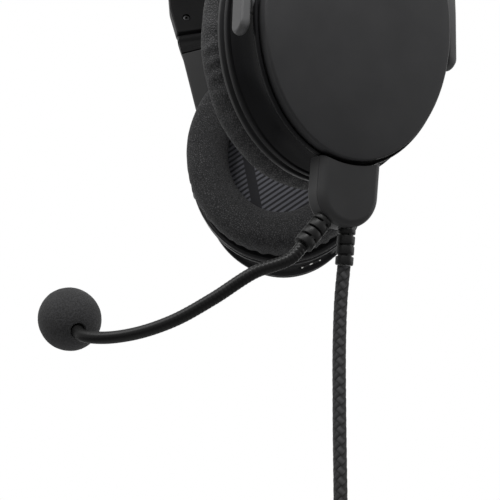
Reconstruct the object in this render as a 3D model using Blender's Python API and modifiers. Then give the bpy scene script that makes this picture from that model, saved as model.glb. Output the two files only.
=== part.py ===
"""Over-ear headset with a plug-in boom microphone, a folding spring headband and a corded plug.

Metres, +Z up. The wearer faces -Y and the left cup is at +X. The origin is the middle of the
headband pad's underside, where a head or a hook holds the headset up.
"""
import math

import bmesh
import bpy
from mathutils import Matrix, Vector

# Clearances
GAP = 0.0003
RUN = 0.0003

# How the cups hang when nobody wears the headset
CUP_TOE = math.radians(11.4)
YOKE_TOE = math.radians(4.4)
CUP_SWIVEL = math.radians(15.7)
REST_SWIVEL = math.radians(4.4)
YOKE_LEAN = math.radians(15.0)
CUSHION_FACE_X = 0.0375
BAND_DROP = 0.142

# Cup: half sizes of its flange, and insets of the other ovals from it
CUP_HALF_WIDTH = 0.0365
CUP_HALF_HEIGHT = 0.045
CUP_UPRIGHT = 0.75
WALL = 0.002
WAIST_INSET = 0.0049
LIP_INSET = 0.0036
GROOVE = 0.0005
CAP_INSET = 0.0052
SHELF_INSET = 0.0090
SHELL_FRONT = -0.0081
LIP_TOP = 0.0041
SHELF_TOP = 0.0029
SHELF_THICK = 0.002
CAP_EDGE = 0.0074
CAP_CROWN = 0.0011
FLANGE_DEPTH = 0.0054
BAFFLE_THICK = 0.002
CUSHION_THICK = 0.0140
CUSHION_BAND = 0.0145
CUSHION_OVERHANG = 0.001
CUSHION_DRAW = 0.16
SCRIM_THICK = 0.0008
SCRIM_MARGIN = 0.001
BOARD_THICK = 0.0012
BOARD_MARGIN = 0.0007
DRIVER_RADIUS = 0.020
MAGNET_RADIUS = 0.011
DRIVER_DEPTH = 0.0110
BATTERY_SIZE = (0.004, 0.024, 0.016)
BATTERY_UP = 0.0245
OVAL_STEPS = 36

# Yoke, its tilt pins and its swivel stem
LEG_GAP = 0.0009
LEG_THICK = 0.003
FRONT_LEG_TIP = 0.0108
BACK_LEG_TIP = 0.0060
LEG_STRAIGHT = 0.030
YOKE_THICK = 0.0064
YOKE_OPENING_UP = 0.0515
YOKE_TOP_HALF = 0.0219
STEM_BACK = -0.006
STEM_LENGTH = 0.0662
STEM_RADIUS = 0.0026
STEM_STUB = 0.0022
TILT_PIN_RADIUS = 0.0016
BUSH_RADIUS = 0.0034
BUSH_THICK = 0.0005

# Fold knuckle, slider and housing, along the arm from the fold axis
KNUCKLE_RADIUS = 0.0028
KNUCKLE_DROP = 0.0050
KNUCKLE_HALF = 0.0224
FOLD_PIN_RADIUS = 0.0010
FOLD_PIN_HALF = 0.0205
SLIDER_HALF = 0.007
SLIDER_THICK = 0.0016
SLIDER_EYE = 0.0020
SLIDER_LENGTH = 0.028
HOUSING_LENGTH = 0.029
HOUSING_THICK = 0.0062
HOUSING_HALF_LOW = 0.0224
HOUSING_FRONT_MIDDLE = 0.0228
HOUSING_MIDDLE_UP = 0.013
HOUSING_HALF_HIGH = 0.0205
HOUSING_SCREW_RADIUS = 0.0014
HOUSING_SCREW_UP = 0.007
HOUSING_SCREW_EDGE = 0.0055
HOUSING_SCREW_DEPTH = 0.0022

# Headband
BAND_HALF_WIDTH = 0.019
COVER_THICK = 0.0024
CORE_THICK = 0.0008
CORE_HALF_WIDTH = 0.011
PAD_THICK = 0.011
PAD_END_THICK = 0.004
PAD_HALF_WIDTH = 0.0185
PAD_REACH = 0.66
ARCH_SHOULDER = 0.038
ARCH_CROWN = 0.050
ARCH_STEPS = 20

# Microphone module under the left cup
MODULE_BACK = 0.0010
MODULE_HALF = 0.0098
MODULE_BOTTOM = -0.0604
MODULE_IN = -0.0018
MODULE_OUT = 0.0068
MODULE_EDGE = 0.0012
MODULE_WALL = 0.0016
MODULE_POCKET = 0.0026
JACK_X = -0.0004
JACK_RADIUS = 0.00125
JACK_TOP = -0.030
JACK_SOCKET_RADIUS = 0.0024

# Boom: route in the left cup's own axes, from its strain relief to the microphone
BOOM_X = 0.0024
BOOM_ANGLE = math.radians(36.0)
BOOM_RELIEF_LENGTH = 0.0100
BOOM_RELIEF_RADIUS = 0.0029
BOOM_RADIUS = 0.00175
BOOM_ROOT_RADIUS = 0.0006
BOOM_ROUTE = (
    (-0.0012, -0.0237, -0.0762),
    (-0.0057, -0.0332, -0.0844),
    (-0.0110, -0.0425, -0.0915),
    (-0.0175, -0.0516, -0.0960),
    (-0.0230, -0.0577, -0.0975),
    (-0.0290, -0.0615, -0.0973),
    (-0.0391, -0.0618, -0.0937),
)
BOOM_RIBS = 50
BOOM_RIB_DEPTH = 0.00022
CAPSULE_RADIUS = 0.0030
CAPSULE_LENGTH = 0.0085
FOAM_RADIUS = 0.0092
FOAM_STRETCH = 1.15
FOAM_BORE = 0.0034

# Cord: its strain relief, its hanging stretch below that, and the tied hank of the rest
CORD_X = 0.0028
CORD_BACK = 0.0028
CORD_DIAMETER = 0.0038
CORD_RELIEF_LENGTH = 0.0102
CORD_RELIEF_RADIUS = 0.0026
CORD_ROUTE = (
    (-0.0016, -0.0006, -0.0085),
    (-0.0027, -0.0010, -0.0200),
    (-0.0031, -0.0012, -0.0400),
    (-0.0031, -0.0012, -0.0620),
    (-0.0031, -0.0012, -0.0840),
    (-0.0031, -0.0012, -0.1000),
)
HANK_TURNS = 3
HANK_STEP = 0.0050
HANK_INNER = 0.0114
HANK_HALF_RUN = 0.027
HANK_WAIST = 0.003
HANK_POINTS = 24
HANK_TAIL = 0.062
TIE_HALF_HEIGHT = 0.005
TIE_THICK = 0.0012
PLUG_RADIUS = 0.0065
PLUG_LENGTH = 0.036
PLUG_PIN_RADIUS = 0.00355
PLUG_PIN_LENGTH = 0.028
PLUG_SEAT = 0.004

# Controls and charging socket on the right cup
BUTTON_ANGLES = {"volume_down_button": -50.0, "action_button": -36.0, "volume_up_button": -22.0}
BUTTON_SIZE = (0.0032, 0.0066, 0.0026)
BUTTON_X = -0.0012
BUTTON_PROUD = 0.0009
SWITCH_ANGLE = 24.0
SWITCH_SIZE = (0.0030, 0.0060, 0.0026)
SWITCH_TRAVEL = 0.004
SOCKET_SIZE = (0.0028, 0.0078, 0.0060)
SOCKET_BACK = -0.003
SOCKET_X = -0.0025
SOCKET_WALL = 0.0004
LIGHT_SIZE = (0.0014, 0.0080, 0.0016)
LIGHT_ANGLE = -70.0

SIDES = {"left": 1, "right": -1}
YZ_PLANE = Matrix(((0, 0, 1, 0), (1, 0, 0, 0), (0, 1, 0, 0), (0, 0, 0, 1)))
XZ_PLANE = Matrix.Rotation(math.pi / 2, 4, "X")
ALONG_Y = Matrix.Rotation(-math.pi / 2, 4, "X")

FINISHES = {
    "satin_shell": ((0.026, 0.026, 0.028), 0.32, 0.0),
    "cap_plate": ((0.060, 0.060, 0.062), 0.42, 0.1),
    "flange_plastic": ((0.030, 0.030, 0.032), 0.30, 0.0),
    "leather": ((0.055, 0.055, 0.057), 0.60, 0.0),
    "scrim_cloth": ((0.035, 0.036, 0.040), 0.90, 0.0),
    "yoke_grey": ((0.110, 0.110, 0.112), 0.36, 0.2),
    "steel": ((0.45, 0.45, 0.46), 0.30, 1.0),
    "band_cover": ((0.030, 0.030, 0.031), 0.45, 0.0),
    "suede": ((0.060, 0.060, 0.062), 0.95, 0.0),
    "module_plastic": ((0.034, 0.034, 0.036), 0.40, 0.0),
    "rubber": ((0.018, 0.018, 0.018), 0.60, 0.0),
    "gooseneck": ((0.022, 0.022, 0.023), 0.45, 0.2),
    "foam": ((0.045, 0.045, 0.047), 1.0, 0.0),
    "braid": ((0.085, 0.085, 0.088), 0.80, 0.0),
    "board_green": ((0.02, 0.10, 0.05), 0.50, 0.0),
    "driver_black": ((0.02, 0.02, 0.02), 0.50, 0.0),
    "battery_grey": ((0.20, 0.20, 0.21), 0.50, 0.0),
    "light_white": ((0.80, 0.80, 0.80), 0.40, 0.0),
    "plated_metal": ((0.70, 0.68, 0.62), 0.22, 1.0),
}


def start_scene():
    """Empty the scene and make the two collections."""
    for item in list(bpy.data.objects):
        bpy.data.objects.remove(item, do_unlink=True)
    collections = {}
    for name in ("aviation_headset", "cutters"):
        collections[name] = bpy.data.collections.new(name)
        bpy.context.scene.collection.children.link(collections[name])
    return collections


COLLECTIONS = start_scene()


def finish_material(slot):
    """The Principled material of one finish, made the first time it is asked for."""
    material = bpy.data.materials.get(slot)
    if material is None:
        colour, roughness, metallic = FINISHES[slot]
        material = bpy.data.materials.new(slot)
        material.use_nodes = True
        shader = material.node_tree.nodes["Principled BSDF"]
        shader.inputs["Base Color"].default_value = (*colour, 1.0)
        shader.inputs["Roughness"].default_value = roughness
        shader.inputs["Metallic"].default_value = metallic
    return material


def place(item, frame, local, slot):
    """Put an object in its frame, in the part's collection, with its finish."""
    COLLECTIONS["aviation_headset"].objects.link(item)
    item.parent = frame
    item.matrix_local = local
    item.data.materials.append(finish_material(slot))
    return item


def frame_empty(name, matrix):
    """An empty that carries the axes of one moving group."""
    empty = bpy.data.objects.new(name, None)
    COLLECTIONS["aviation_headset"].objects.link(empty)
    empty.matrix_world = matrix
    return empty


def smooth(mesh):
    mesh.shade_smooth()
    mesh.set_sharp_from_angle(angle=math.radians(35))


def mesh_object(name, body, frame, slot, local=None):
    """A named object from a bmesh, with its faces turned out."""
    bmesh.ops.recalc_face_normals(body, faces=body.faces)
    mesh = bpy.data.meshes.new(name)
    body.to_mesh(mesh)
    body.free()
    smooth(mesh)
    return place(bpy.data.objects.new(name, mesh), frame, local or Matrix(), slot)


def oval(inset, upright=1.0):
    """Half sizes of the cup's oval at an inset from the flange, and its share up and down."""
    return CUP_HALF_WIDTH - inset, CUP_HALF_HEIGHT - upright * inset


def oval_loft(name, side, rings, frame, slot, ring_shaped):
    """Oval rings (x, half width, half height) joined in order: an oval can't be turned.

    ring_shaped joins the last ring to the first; otherwise both ends are capped.
    """
    body = bmesh.new()
    loops = []
    for x, half_width, half_height in rings:
        loop = []
        for step in range(OVAL_STEPS):
            angle = 2 * math.pi * step / OVAL_STEPS
            y = half_width * math.cos(angle)
            z = half_height * math.sin(angle)
            loop.append(body.verts.new((side * x, y, z)))
        loops.append(loop)
    pairs = list(zip(loops, loops[1:]))
    if ring_shaped:
        pairs.append((loops[-1], loops[0]))
    else:
        body.faces.new(loops[0])
        body.faces.new(loops[-1])
    for first, second in pairs:
        for step in range(OVAL_STEPS):
            after = (step + 1) % OVAL_STEPS
            body.faces.new((first[step], first[after], second[after], second[step]))
    return mesh_object(name, body, frame, slot)


def inset_rings(profile, upright=1.0):
    """Rings from (x, inset) pairs."""
    return [(x, *oval(inset, upright)) for x, inset in profile]


def box(name, size, frame, slot, local):
    body = bmesh.new()
    bmesh.ops.create_cube(body, size=1.0)
    bmesh.ops.scale(body, vec=size, verts=body.verts)
    return mesh_object(name, body, frame, slot, local)


def rod(name, radius, length, frame, slot, local, steps=20):
    """A cylinder along its local Z, centred."""
    body = bmesh.new()
    bmesh.ops.create_cone(
        body, cap_ends=True, segments=steps, radius1=radius, radius2=radius, depth=length
    )
    return mesh_object(name, body, frame, slot, local)


def turned(name, profile, frame, slot, local, steps=24, closed=False):
    """A profile (radius, z), top to bottom on its outer side, turned about local Z."""
    mesh = bpy.data.meshes.new(name)
    edges = [(i, i + 1) for i in range(len(profile) - 1)]
    if closed:
        edges.append((len(profile) - 1, 0))
    mesh.from_pydata([(r, 0.0, z) for r, z in profile], edges, [])
    item = place(bpy.data.objects.new(name, mesh), frame, local, slot)
    screw = item.modifiers.new("turn", "SCREW")
    screw.steps = steps
    screw.render_steps = steps
    screw.use_merge_vertices = True
    screw.merge_threshold = 0.00001
    return item


def flat_plate(name, loops, thickness, frame, slot, local):
    """Flat outlines, the first the edge and the rest holes, given a thickness."""
    curve = bpy.data.curves.new(name, "CURVE")
    curve.dimensions = "2D"
    curve.fill_mode = "BOTH"
    curve.extrude = thickness / 2
    for loop in loops:
        spline = curve.splines.new("POLY")
        spline.points.add(len(loop) - 1)
        for point, (u, v) in zip(spline.points, loop):
            point.co = (u, v, 0.0, 1.0)
        spline.use_cyclic_u = True
    return place(bpy.data.objects.new(name, curve), frame, local, slot)


def tube(name, points, radii, sides_resolution, frame, slot, local=None):
    """A round tube along points, with a radius at each point and closed ends."""
    curve = bpy.data.curves.new(name, "CURVE")
    curve.dimensions = "3D"
    curve.bevel_depth = 1.0
    curve.bevel_resolution = sides_resolution
    curve.use_fill_caps = True
    spline = curve.splines.new("POLY")
    spline.points.add(len(points) - 1)
    for point, place_at, radius in zip(spline.points, points, radii):
        point.co = (*place_at, 1.0)
        point.radius = radius
    return place(bpy.data.objects.new(name, curve), frame, local or Matrix(), slot)


def as_mesh(item):
    """Turn a curve object into a welded mesh object of the same name and place."""
    bpy.context.view_layer.update()
    evaluated = item.evaluated_get(bpy.context.evaluated_depsgraph_get())
    mesh = bpy.data.meshes.new_from_object(evaluated)
    body = bmesh.new()
    body.from_mesh(mesh)
    bmesh.ops.remove_doubles(body, verts=body.verts, dist=0.000005)
    bmesh.ops.recalc_face_normals(body, faces=body.faces)
    body.to_mesh(mesh)
    body.free()
    smooth(mesh)
    name, frame, local = item.name, item.parent, item.matrix_local.copy()
    slot = item.data.materials[0].name
    bpy.data.objects.remove(item, do_unlink=True)
    mesh.materials.clear()
    return place(bpy.data.objects.new(name, mesh), frame, local, slot)


def boolean(item, tool, operation):
    """Cut a tool from an object, or join it on; the tool is kept as a wire guide."""
    modifier = item.modifiers.new(operation.lower(), "BOOLEAN")
    modifier.operation = operation
    modifier.solver = "EXACT"
    modifier.object = tool
    tool.hide_render = True
    tool.display_type = "WIRE"
    COLLECTIONS["aviation_headset"].objects.unlink(tool)
    COLLECTIONS["cutters"].objects.link(tool)


def round_edges(item, width, segments):
    bevel = item.modifiers.new("round", "BEVEL")
    bevel.width = width
    bevel.segments = segments
    bevel.limit_method = "ANGLE"
    bevel.angle_limit = math.radians(50)


def arc(centre, radius, start, end, steps):
    """Points of an arc in degrees, ends included."""
    points = []
    for step in range(steps + 1):
        angle = math.radians(start + (end - start) * step / steps)
        points.append((centre[0] + radius * math.cos(angle), centre[1] + radius * math.sin(angle)))
    return points


def bezier(p0, p1, p2, p3, steps):
    """Points of a cubic curve, ends included."""
    points = []
    for step in range(steps + 1):
        t = step / steps
        weights = ((1 - t) ** 3, 3 * t * (1 - t) ** 2, 3 * t * t * (1 - t), t ** 3)
        columns = zip(p0, p1, p2, p3)
        points.append(tuple(sum(w * c for w, c in zip(weights, column)) for column in columns))
    return points


def smooth_route(route, spacing):
    """Points about one spacing apart on a smooth curve through a route's own points."""
    route = [Vector(point) for point in route]
    ends = [2 * route[0] - route[1], *route, 2 * route[-1] - route[-2]]
    points = [route[0]]
    for before, start, end, after in zip(ends, ends[1:], ends[2:], ends[3:]):
        count = max(2, round((end - start).length / spacing))
        for step in range(1, count + 1):
            t = step / count
            points.append(0.5 * (
                2 * start + (end - before) * t
                + (2 * before - 5 * start + 4 * end - after) * t * t
                + (3 * start - before - 3 * end + after) * t ** 3
            ))
    return points


def turn(angle, axis):
    return Matrix.Rotation(angle, 4, axis)


def z_along(direction, at):
    """A placement whose local Z points along a direction."""
    return Matrix.Translation(at) @ Vector(direction).to_track_quat("Z", "Y").to_matrix().to_4x4()


# Depth stations of a cup, measured outward from its tilt axis
FLANGE_BACK = SHELL_FRONT - GAP
FLANGE_FRONT = FLANGE_BACK - FLANGE_DEPTH
CUSHION_BASE = FLANGE_FRONT - GAP
CUSHION_FACE = CUSHION_BASE - CUSHION_THICK
SHELF_BOTTOM = SHELF_TOP - SHELF_THICK
BOARD_TOP = SHELF_BOTTOM - GAP
LEG_IN = CUP_HALF_WIDTH - LIP_INSET + LEG_GAP
LEG_OUT = LEG_IN + LEG_THICK

# Frames: the swivel stem leans forward in the yoke's plane, and the band's plane holds both stems
cup_turn = turn(CUP_SWIVEL, "Z") @ turn(CUP_TOE, "Y")
yoke_turn = turn(CUP_SWIVEL, "Z") @ turn(YOKE_TOE, "Y")
pivot_from_face = Vector((CUSHION_FACE_X, 0, 0)) + cup_turn @ Vector((-CUSHION_FACE, 0, 0))
stem_foot = pivot_from_face + yoke_turn @ Vector((0, STEM_BACK, 0))
stem_way = (yoke_turn @ Vector((0, -math.sin(YOKE_LEAN), math.cos(YOKE_LEAN)))).normalized()
BAND_LEAN = math.atan2(-stem_way.y, stem_way.z)
ARM_TOE = math.atan2(stem_way.x, math.hypot(stem_way.y, stem_way.z))
band_matrix = turn(BAND_LEAN, "X")
stem_foot_world = band_matrix @ Vector((stem_foot.x, 0, -BAND_DROP))
hang = stem_foot_world - stem_foot
ARM_LENGTH = STEM_LENGTH + KNUCKLE_DROP


def mirrored(matrix, side):
    """A left-hand placement, reflected to the right without turning it inside out."""
    if side > 0:
        return matrix
    flip = Matrix.Scale(-1, 4, (1, 0, 0))
    return flip @ matrix @ flip


def side_frames(name, side):
    """Empties of one side: arm at its fold axis, yoke on its swivel axis, cup on its tilt axis."""
    arm = (
        band_matrix
        @ Matrix.Translation((stem_foot.x, 0, -BAND_DROP))
        @ turn(ARM_TOE, "Y")
        @ Matrix.Translation((0, 0, ARM_LENGTH))
    )
    yoke = Matrix.Translation(stem_foot + hang) @ yoke_turn
    cup = Matrix.Translation(pivot_from_face + hang) @ cup_turn
    stem = Vector((side * stem_way.x, stem_way.y, stem_way.z))
    foot = Matrix.Translation(mirrored(yoke, side).to_translation())
    swung = foot @ Matrix.Rotation(REST_SWIVEL, 4, stem) @ foot.inverted()
    return {
        "arm": frame_empty(f"{name}_arm_frame", mirrored(arm, side)),
        "yoke": frame_empty(f"{name}_yoke_frame", swung @ mirrored(yoke, side)),
        "cup": frame_empty(f"{name}_cup_frame", swung @ mirrored(cup, side)),
    }


def waist_point(angle, inset):
    """Point and outward direction on an oval, at an angle from the back, in degrees."""
    half_width, half_height = oval(inset, CUP_UPRIGHT)
    turn_angle = math.radians(angle)
    point = Vector((0, half_width * math.cos(turn_angle), half_height * math.sin(turn_angle)))
    normal = Vector((0, point.y / half_width ** 2, point.z / half_height ** 2)).normalized()
    return point, normal


def on_waist(angle, inset, x):
    """A placement on an oval: local Z out, local Y along the oval, local X along the cup's axis."""
    point, normal = waist_point(angle, inset)
    along = Vector((0, -normal.z, normal.y))
    placement = Matrix.Identity(4)
    placement.col[0].xyz = (1, 0, 0)
    placement.col[1].xyz = along
    placement.col[2].xyz = normal
    placement.col[3].xyz = (x, point.y, point.z)
    return placement


def cup_shell(name, side, frame):
    """Waisted cup body with the lip round its cap and a shelf that carries cap and board."""
    step = 0.0006
    profile = (
        (SHELL_FRONT, WAIST_INSET * 0.35),
        (SHELL_FRONT * 0.6, WAIST_INSET * 0.75),
        (SHELL_FRONT * 0.1, WAIST_INSET),
        (SHELF_BOTTOM, WAIST_INSET),
        (LIP_TOP - 3.5 * step, LIP_INSET + step / 2),
        (LIP_TOP - 2 * step, LIP_INSET),
        (LIP_TOP - step / 2, LIP_INSET + step / 3),
        (LIP_TOP, LIP_INSET + step),
        (LIP_TOP, CAP_INSET - GROOVE - step / 2),
        (LIP_TOP - step / 2, CAP_INSET - GROOVE),
        (SHELF_TOP, CAP_INSET - GROOVE),
        (SHELF_TOP, SHELF_INSET),
        (SHELF_BOTTOM, SHELF_INSET),
        (SHELF_BOTTOM, WAIST_INSET + WALL),
        (SHELL_FRONT * 0.1, WAIST_INSET + WALL),
        (SHELL_FRONT, WAIST_INSET * 0.35 + WALL),
    )
    rings = inset_rings(profile, CUP_UPRIGHT)
    shell = oval_loft(f"{name}_cup_shell", side, rings, frame, "satin_shell", True)
    for end in (-1, 1):
        hole = Matrix.Translation((0, end * LEG_IN, 0)) @ ALONG_Y
        length = 2 * (LEG_IN - CUP_HALF_WIDTH + WAIST_INSET + 2 * WALL)
        cut = rod(f"{name}_pin_hole_{end}", TILT_PIN_RADIUS + RUN, length, frame, "steel", hole)
        boolean(shell, cut, "DIFFERENCE")
    return shell


def cup_cap(name, side, frame):
    """Slightly crowned plate that closes the cup's outside."""
    bottom = SHELF_TOP + GAP
    round_off = 0.0007
    profile = (
        (bottom, CAP_INSET),
        (CAP_EDGE - round_off, CAP_INSET),
        (CAP_EDGE, CAP_INSET + round_off),
        (CAP_EDGE + CAP_CROWN * 0.55, CAP_INSET + 0.0075),
        (CAP_EDGE + CAP_CROWN * 0.9, CAP_INSET + 0.0160),
        (CAP_EDGE + CAP_CROWN, CAP_INSET + 0.0220),
    )
    rings = inset_rings(profile, CUP_UPRIGHT)
    return oval_loft(f"{name}_cup_cap", side, rings, frame, "cap_plate", False)


def baffle(name, side, frame):
    """Plate that carries driver and cushion, with a grooved flange round it."""
    hole = DRIVER_RADIUS + GAP
    ledge = 0.0012
    rings = [(FLANGE_FRONT, hole, hole)]
    rings += inset_rings((
        (FLANGE_FRONT, ledge),
        (FLANGE_FRONT + 0.0006, 0.0),
        (FLANGE_FRONT + 0.0022, 0.0),
        (FLANGE_FRONT + 0.0026, ledge),
        (FLANGE_FRONT + 0.0036, ledge),
        (FLANGE_FRONT + 0.0040, ledge / 3),
        (FLANGE_BACK, ledge / 2),
        (FLANGE_BACK, ledge + WALL),
        (FLANGE_FRONT + BAFFLE_THICK, ledge + WALL),
    ))
    rings.append((FLANGE_FRONT + BAFFLE_THICK, hole, hole))
    return oval_loft(f"{name}_baffle", side, rings, frame, "flange_plastic", True)


def cushion(name, side, frame):
    """Ear cushion: a crowned ring whose sides draw in towards its base."""
    half_band = CUSHION_BAND / 2
    middle = half_band - CUSHION_OVERHANG
    centre_x = (CUSHION_FACE + CUSHION_BASE) / 2
    points = 16
    profile = []
    for step in range(points):
        angle = 2 * math.pi * step / points
        across = math.copysign(abs(math.cos(angle)) ** 0.7, math.cos(angle))
        along = math.copysign(abs(math.sin(angle)) ** 0.7, math.sin(angle))
        drawn = 1.0 - CUSHION_DRAW * max(0.0, along)
        profile.append((centre_x + along * CUSHION_THICK / 2, middle - across * half_band * drawn))
    return oval_loft(f"{name}_cushion", side, inset_rings(profile), frame, "leather", True)


def scrim(name, side, frame):
    """Cloth over the driver, inside the cushion's opening."""
    inset = CUSHION_BAND / 2 - CUSHION_OVERHANG + CUSHION_BAND / 2 + SCRIM_MARGIN
    top = FLANGE_FRONT - GAP
    rings = inset_rings(((top - SCRIM_THICK, inset), (top, inset)))
    return oval_loft(f"{name}_scrim", side, rings, frame, "scrim_cloth", False)


def driver(name, side, frame):
    """Speaker: its rim in the baffle's hole, its magnet towards the cap."""
    depth = DRIVER_DEPTH
    profile = (
        (0.0, depth), (MAGNET_RADIUS, depth), (MAGNET_RADIUS, depth * 0.5),
        (DRIVER_RADIUS * 0.78, depth * 0.46), (DRIVER_RADIUS, BAFFLE_THICK),
        (DRIVER_RADIUS, 0.0), (0.0, 0.0),
    )
    outward = turn(side * math.pi / 2, "Y")
    local = Matrix.Translation((side * FLANGE_FRONT, 0, 0)) @ outward
    return turned(f"{name}_driver", profile, frame, "driver_black", local)


def cup_board(name, side, frame):
    """Noise-cancelling circuit board under the cup's shelf."""
    inset = WAIST_INSET + WALL + BOARD_MARGIN
    rings = inset_rings(((BOARD_TOP - BOARD_THICK, inset), (BOARD_TOP, inset)), CUP_UPRIGHT)
    return oval_loft(f"{name}_circuit_board", side, rings, frame, "board_green", False)


def pivot_bushes(name, frame):
    """Two rings on the cup that the tilt pins turn in."""
    outer = LEG_IN - GAP
    inner = outer - BUSH_THICK
    hole = TILT_PIN_RADIUS + RUN
    profile = ((BUSH_RADIUS, outer), (BUSH_RADIUS, inner), (hole, inner), (hole, outer))
    to_front = turn(math.pi / 2, "X")
    front = turned(f"{name}_front_bush", profile, frame, "yoke_grey", to_front, closed=True)
    back = turned(f"{name}_back_bush", profile, frame, "yoke_grey", ALONG_Y, closed=True)
    return front, back


def yoke(name, frame):
    """Flat fork round the cup, with the stem that swivels in the fold knuckle."""
    lean = Vector((-math.sin(YOKE_LEAN), math.cos(YOKE_LEAN)))
    across = Vector((math.cos(YOKE_LEAN), math.sin(YOKE_LEAN)))
    top = lean * (STEM_LENGTH - GAP / 2)
    front_corner = top - across * YOKE_TOP_HALF
    back_corner = top + across * YOKE_TOP_HALF
    front_in, front_out = -LEG_IN - STEM_BACK, -LEG_OUT - STEM_BACK
    back_in, back_out = LEG_IN - STEM_BACK, LEG_OUT - STEM_BACK
    half_leg = LEG_THICK / 2
    outline = [tuple(front_corner)]
    outline.append((front_out, LEG_STRAIGHT))
    outline += arc((front_out + half_leg, -FRONT_LEG_TIP + half_leg), half_leg, 180, 360, 6)
    middle = (front_in + back_in) / 2
    for step in range(1, 24):
        angle = math.pi * (1 - step / 24)
        outline.append((middle + LEG_IN * math.cos(angle), YOKE_OPENING_UP * math.sin(angle)))
    outline += arc((back_out - half_leg, -BACK_LEG_TIP + half_leg), half_leg, 180, 360, 6)
    rise = tuple(Vector((back_out, 0.0)) + Vector((0.0, 0.75 * STEM_LENGTH)))
    shoulder = tuple(back_corner + across * 0.5 * YOKE_TOP_HALF)
    outline += bezier((back_out, 0.012), rise, shoulder, tuple(back_corner), 12)
    plate = flat_plate(f"{name}_yoke", [outline], YOKE_THICK, frame, "yoke_grey", YZ_PLANE)
    plate = as_mesh(plate)
    for end in (-LEG_IN - half_leg - STEM_BACK, LEG_IN + half_leg - STEM_BACK):
        hole = Matrix.Translation((0, end, 0)) @ ALONG_Y
        radius = TILT_PIN_RADIUS + RUN
        cut = rod(f"{name}_leg_hole_{end > 0}", radius, 3 * LEG_THICK, frame, "steel", hole)
        boolean(plate, cut, "DIFFERENCE")
    stem_way_local = (0, lean.x, lean.y)
    stem_middle = Vector((0, *top)) + Vector(stem_way_local) * (STEM_STUB - LEG_THICK) / 2
    stem_at = z_along(stem_way_local, stem_middle)
    stub = rod(f"{name}_stem", STEM_RADIUS, STEM_STUB + LEG_THICK, frame, "steel", stem_at)
    boolean(plate, stub, "UNION")
    return plate


def tilt_pins(name, frame):
    """Two pins through the legs into the cup's bushes."""
    tip = CUP_HALF_WIDTH - WAIST_INSET - WALL
    length = LEG_OUT - tip
    pins = []
    for word, end in (("front", -1), ("back", 1)):
        middle = (0, end * (tip + length / 2) - STEM_BACK, 0)
        local = Matrix.Translation(middle) @ ALONG_Y
        pins.append(rod(f"{name}_{word}_tilt_pin", TILT_PIN_RADIUS, length, frame, "steel", local, 16))
    return pins


def fold_knuckle(name, frame):
    """Collar between arm and yoke: round about the fold pin, notched for the slider's eye."""
    bottom = -KNUCKLE_DROP + GAP / 2
    outline = [(-KNUCKLE_RADIUS, bottom), (KNUCKLE_RADIUS, bottom), *arc((0, 0), KNUCKLE_RADIUS, 0, 180, 12)]
    hole = arc((0, 0), FOLD_PIN_RADIUS + RUN / 2, 0, 345, 23)
    knuckle = flat_plate(
        f"{name}_fold_knuckle", [outline, hole], 2 * KNUCKLE_HALF, frame, "yoke_grey", XZ_PLANE
    )
    knuckle = as_mesh(knuckle)
    notch_low = -SLIDER_EYE - RUN
    height = 2 * KNUCKLE_RADIUS
    notch_at = Matrix.Translation((0, 0, notch_low + height / 2))
    size = (4 * KNUCKLE_RADIUS, 2 * (SLIDER_HALF + RUN), height)
    boolean(knuckle, box(f"{name}_eye_notch", size, frame, "steel", notch_at), "DIFFERENCE")
    bore_at = Matrix.Translation((0, 0, -KNUCKLE_DROP))
    bore = rod(f"{name}_stem_bore", STEM_RADIUS + RUN, 2 * (STEM_STUB + RUN), frame, "steel", bore_at)
    boolean(knuckle, bore, "DIFFERENCE")
    return knuckle


def slider(name, frame):
    """Steel strip with an eye for the fold pin; it slides in the housing."""
    half = SLIDER_THICK / 2
    meet = math.degrees(math.acos(half / SLIDER_EYE))
    outline = arc((0, 0), SLIDER_EYE, 180 - meet, 360 + meet, 20)
    outline += [(half, SLIDER_LENGTH), (-half, SLIDER_LENGTH)]
    hole = arc((0, 0), FOLD_PIN_RADIUS + RUN / 2, 0, 345, 23)
    return flat_plate(f"{name}_slider", [outline, hole], 2 * SLIDER_HALF, frame, "steel", XZ_PLANE)


def fold_pin(name, frame):
    return rod(f"{name}_fold_pin", FOLD_PIN_RADIUS, 2 * FOLD_PIN_HALF, frame, "steel", ALONG_Y, 16)


HOUSING_LOW = KNUCKLE_RADIUS + GAP
HOUSING_HIGH = HOUSING_LOW + HOUSING_LENGTH


def housing(name, frame):
    """Flat end of the headband that the slider runs in."""
    outline = (
        (-HOUSING_HALF_LOW, HOUSING_LOW), (HOUSING_HALF_LOW, HOUSING_LOW),
        (HOUSING_HALF_HIGH, HOUSING_HIGH), (-HOUSING_HALF_HIGH, HOUSING_HIGH),
        (-HOUSING_FRONT_MIDDLE, HOUSING_LOW + HOUSING_MIDDLE_UP),
    )
    block = as_mesh(flat_plate(f"{name}_housing", [outline], HOUSING_THICK, frame, "band_cover", YZ_PLANE))
    round_edges(block, 0.0012, 2)
    slot_high = SLIDER_LENGTH + 2 * RUN
    slot_low = HOUSING_LOW - HOUSING_THICK
    slot_at = Matrix.Translation((0, 0, (slot_high + slot_low) / 2))
    slot_size = (SLIDER_THICK + 2 * RUN, 2 * (SLIDER_HALF + RUN), slot_high - slot_low)
    boolean(block, box(f"{name}_slider_slot", slot_size, frame, "steel", slot_at), "DIFFERENCE")
    return block


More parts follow.
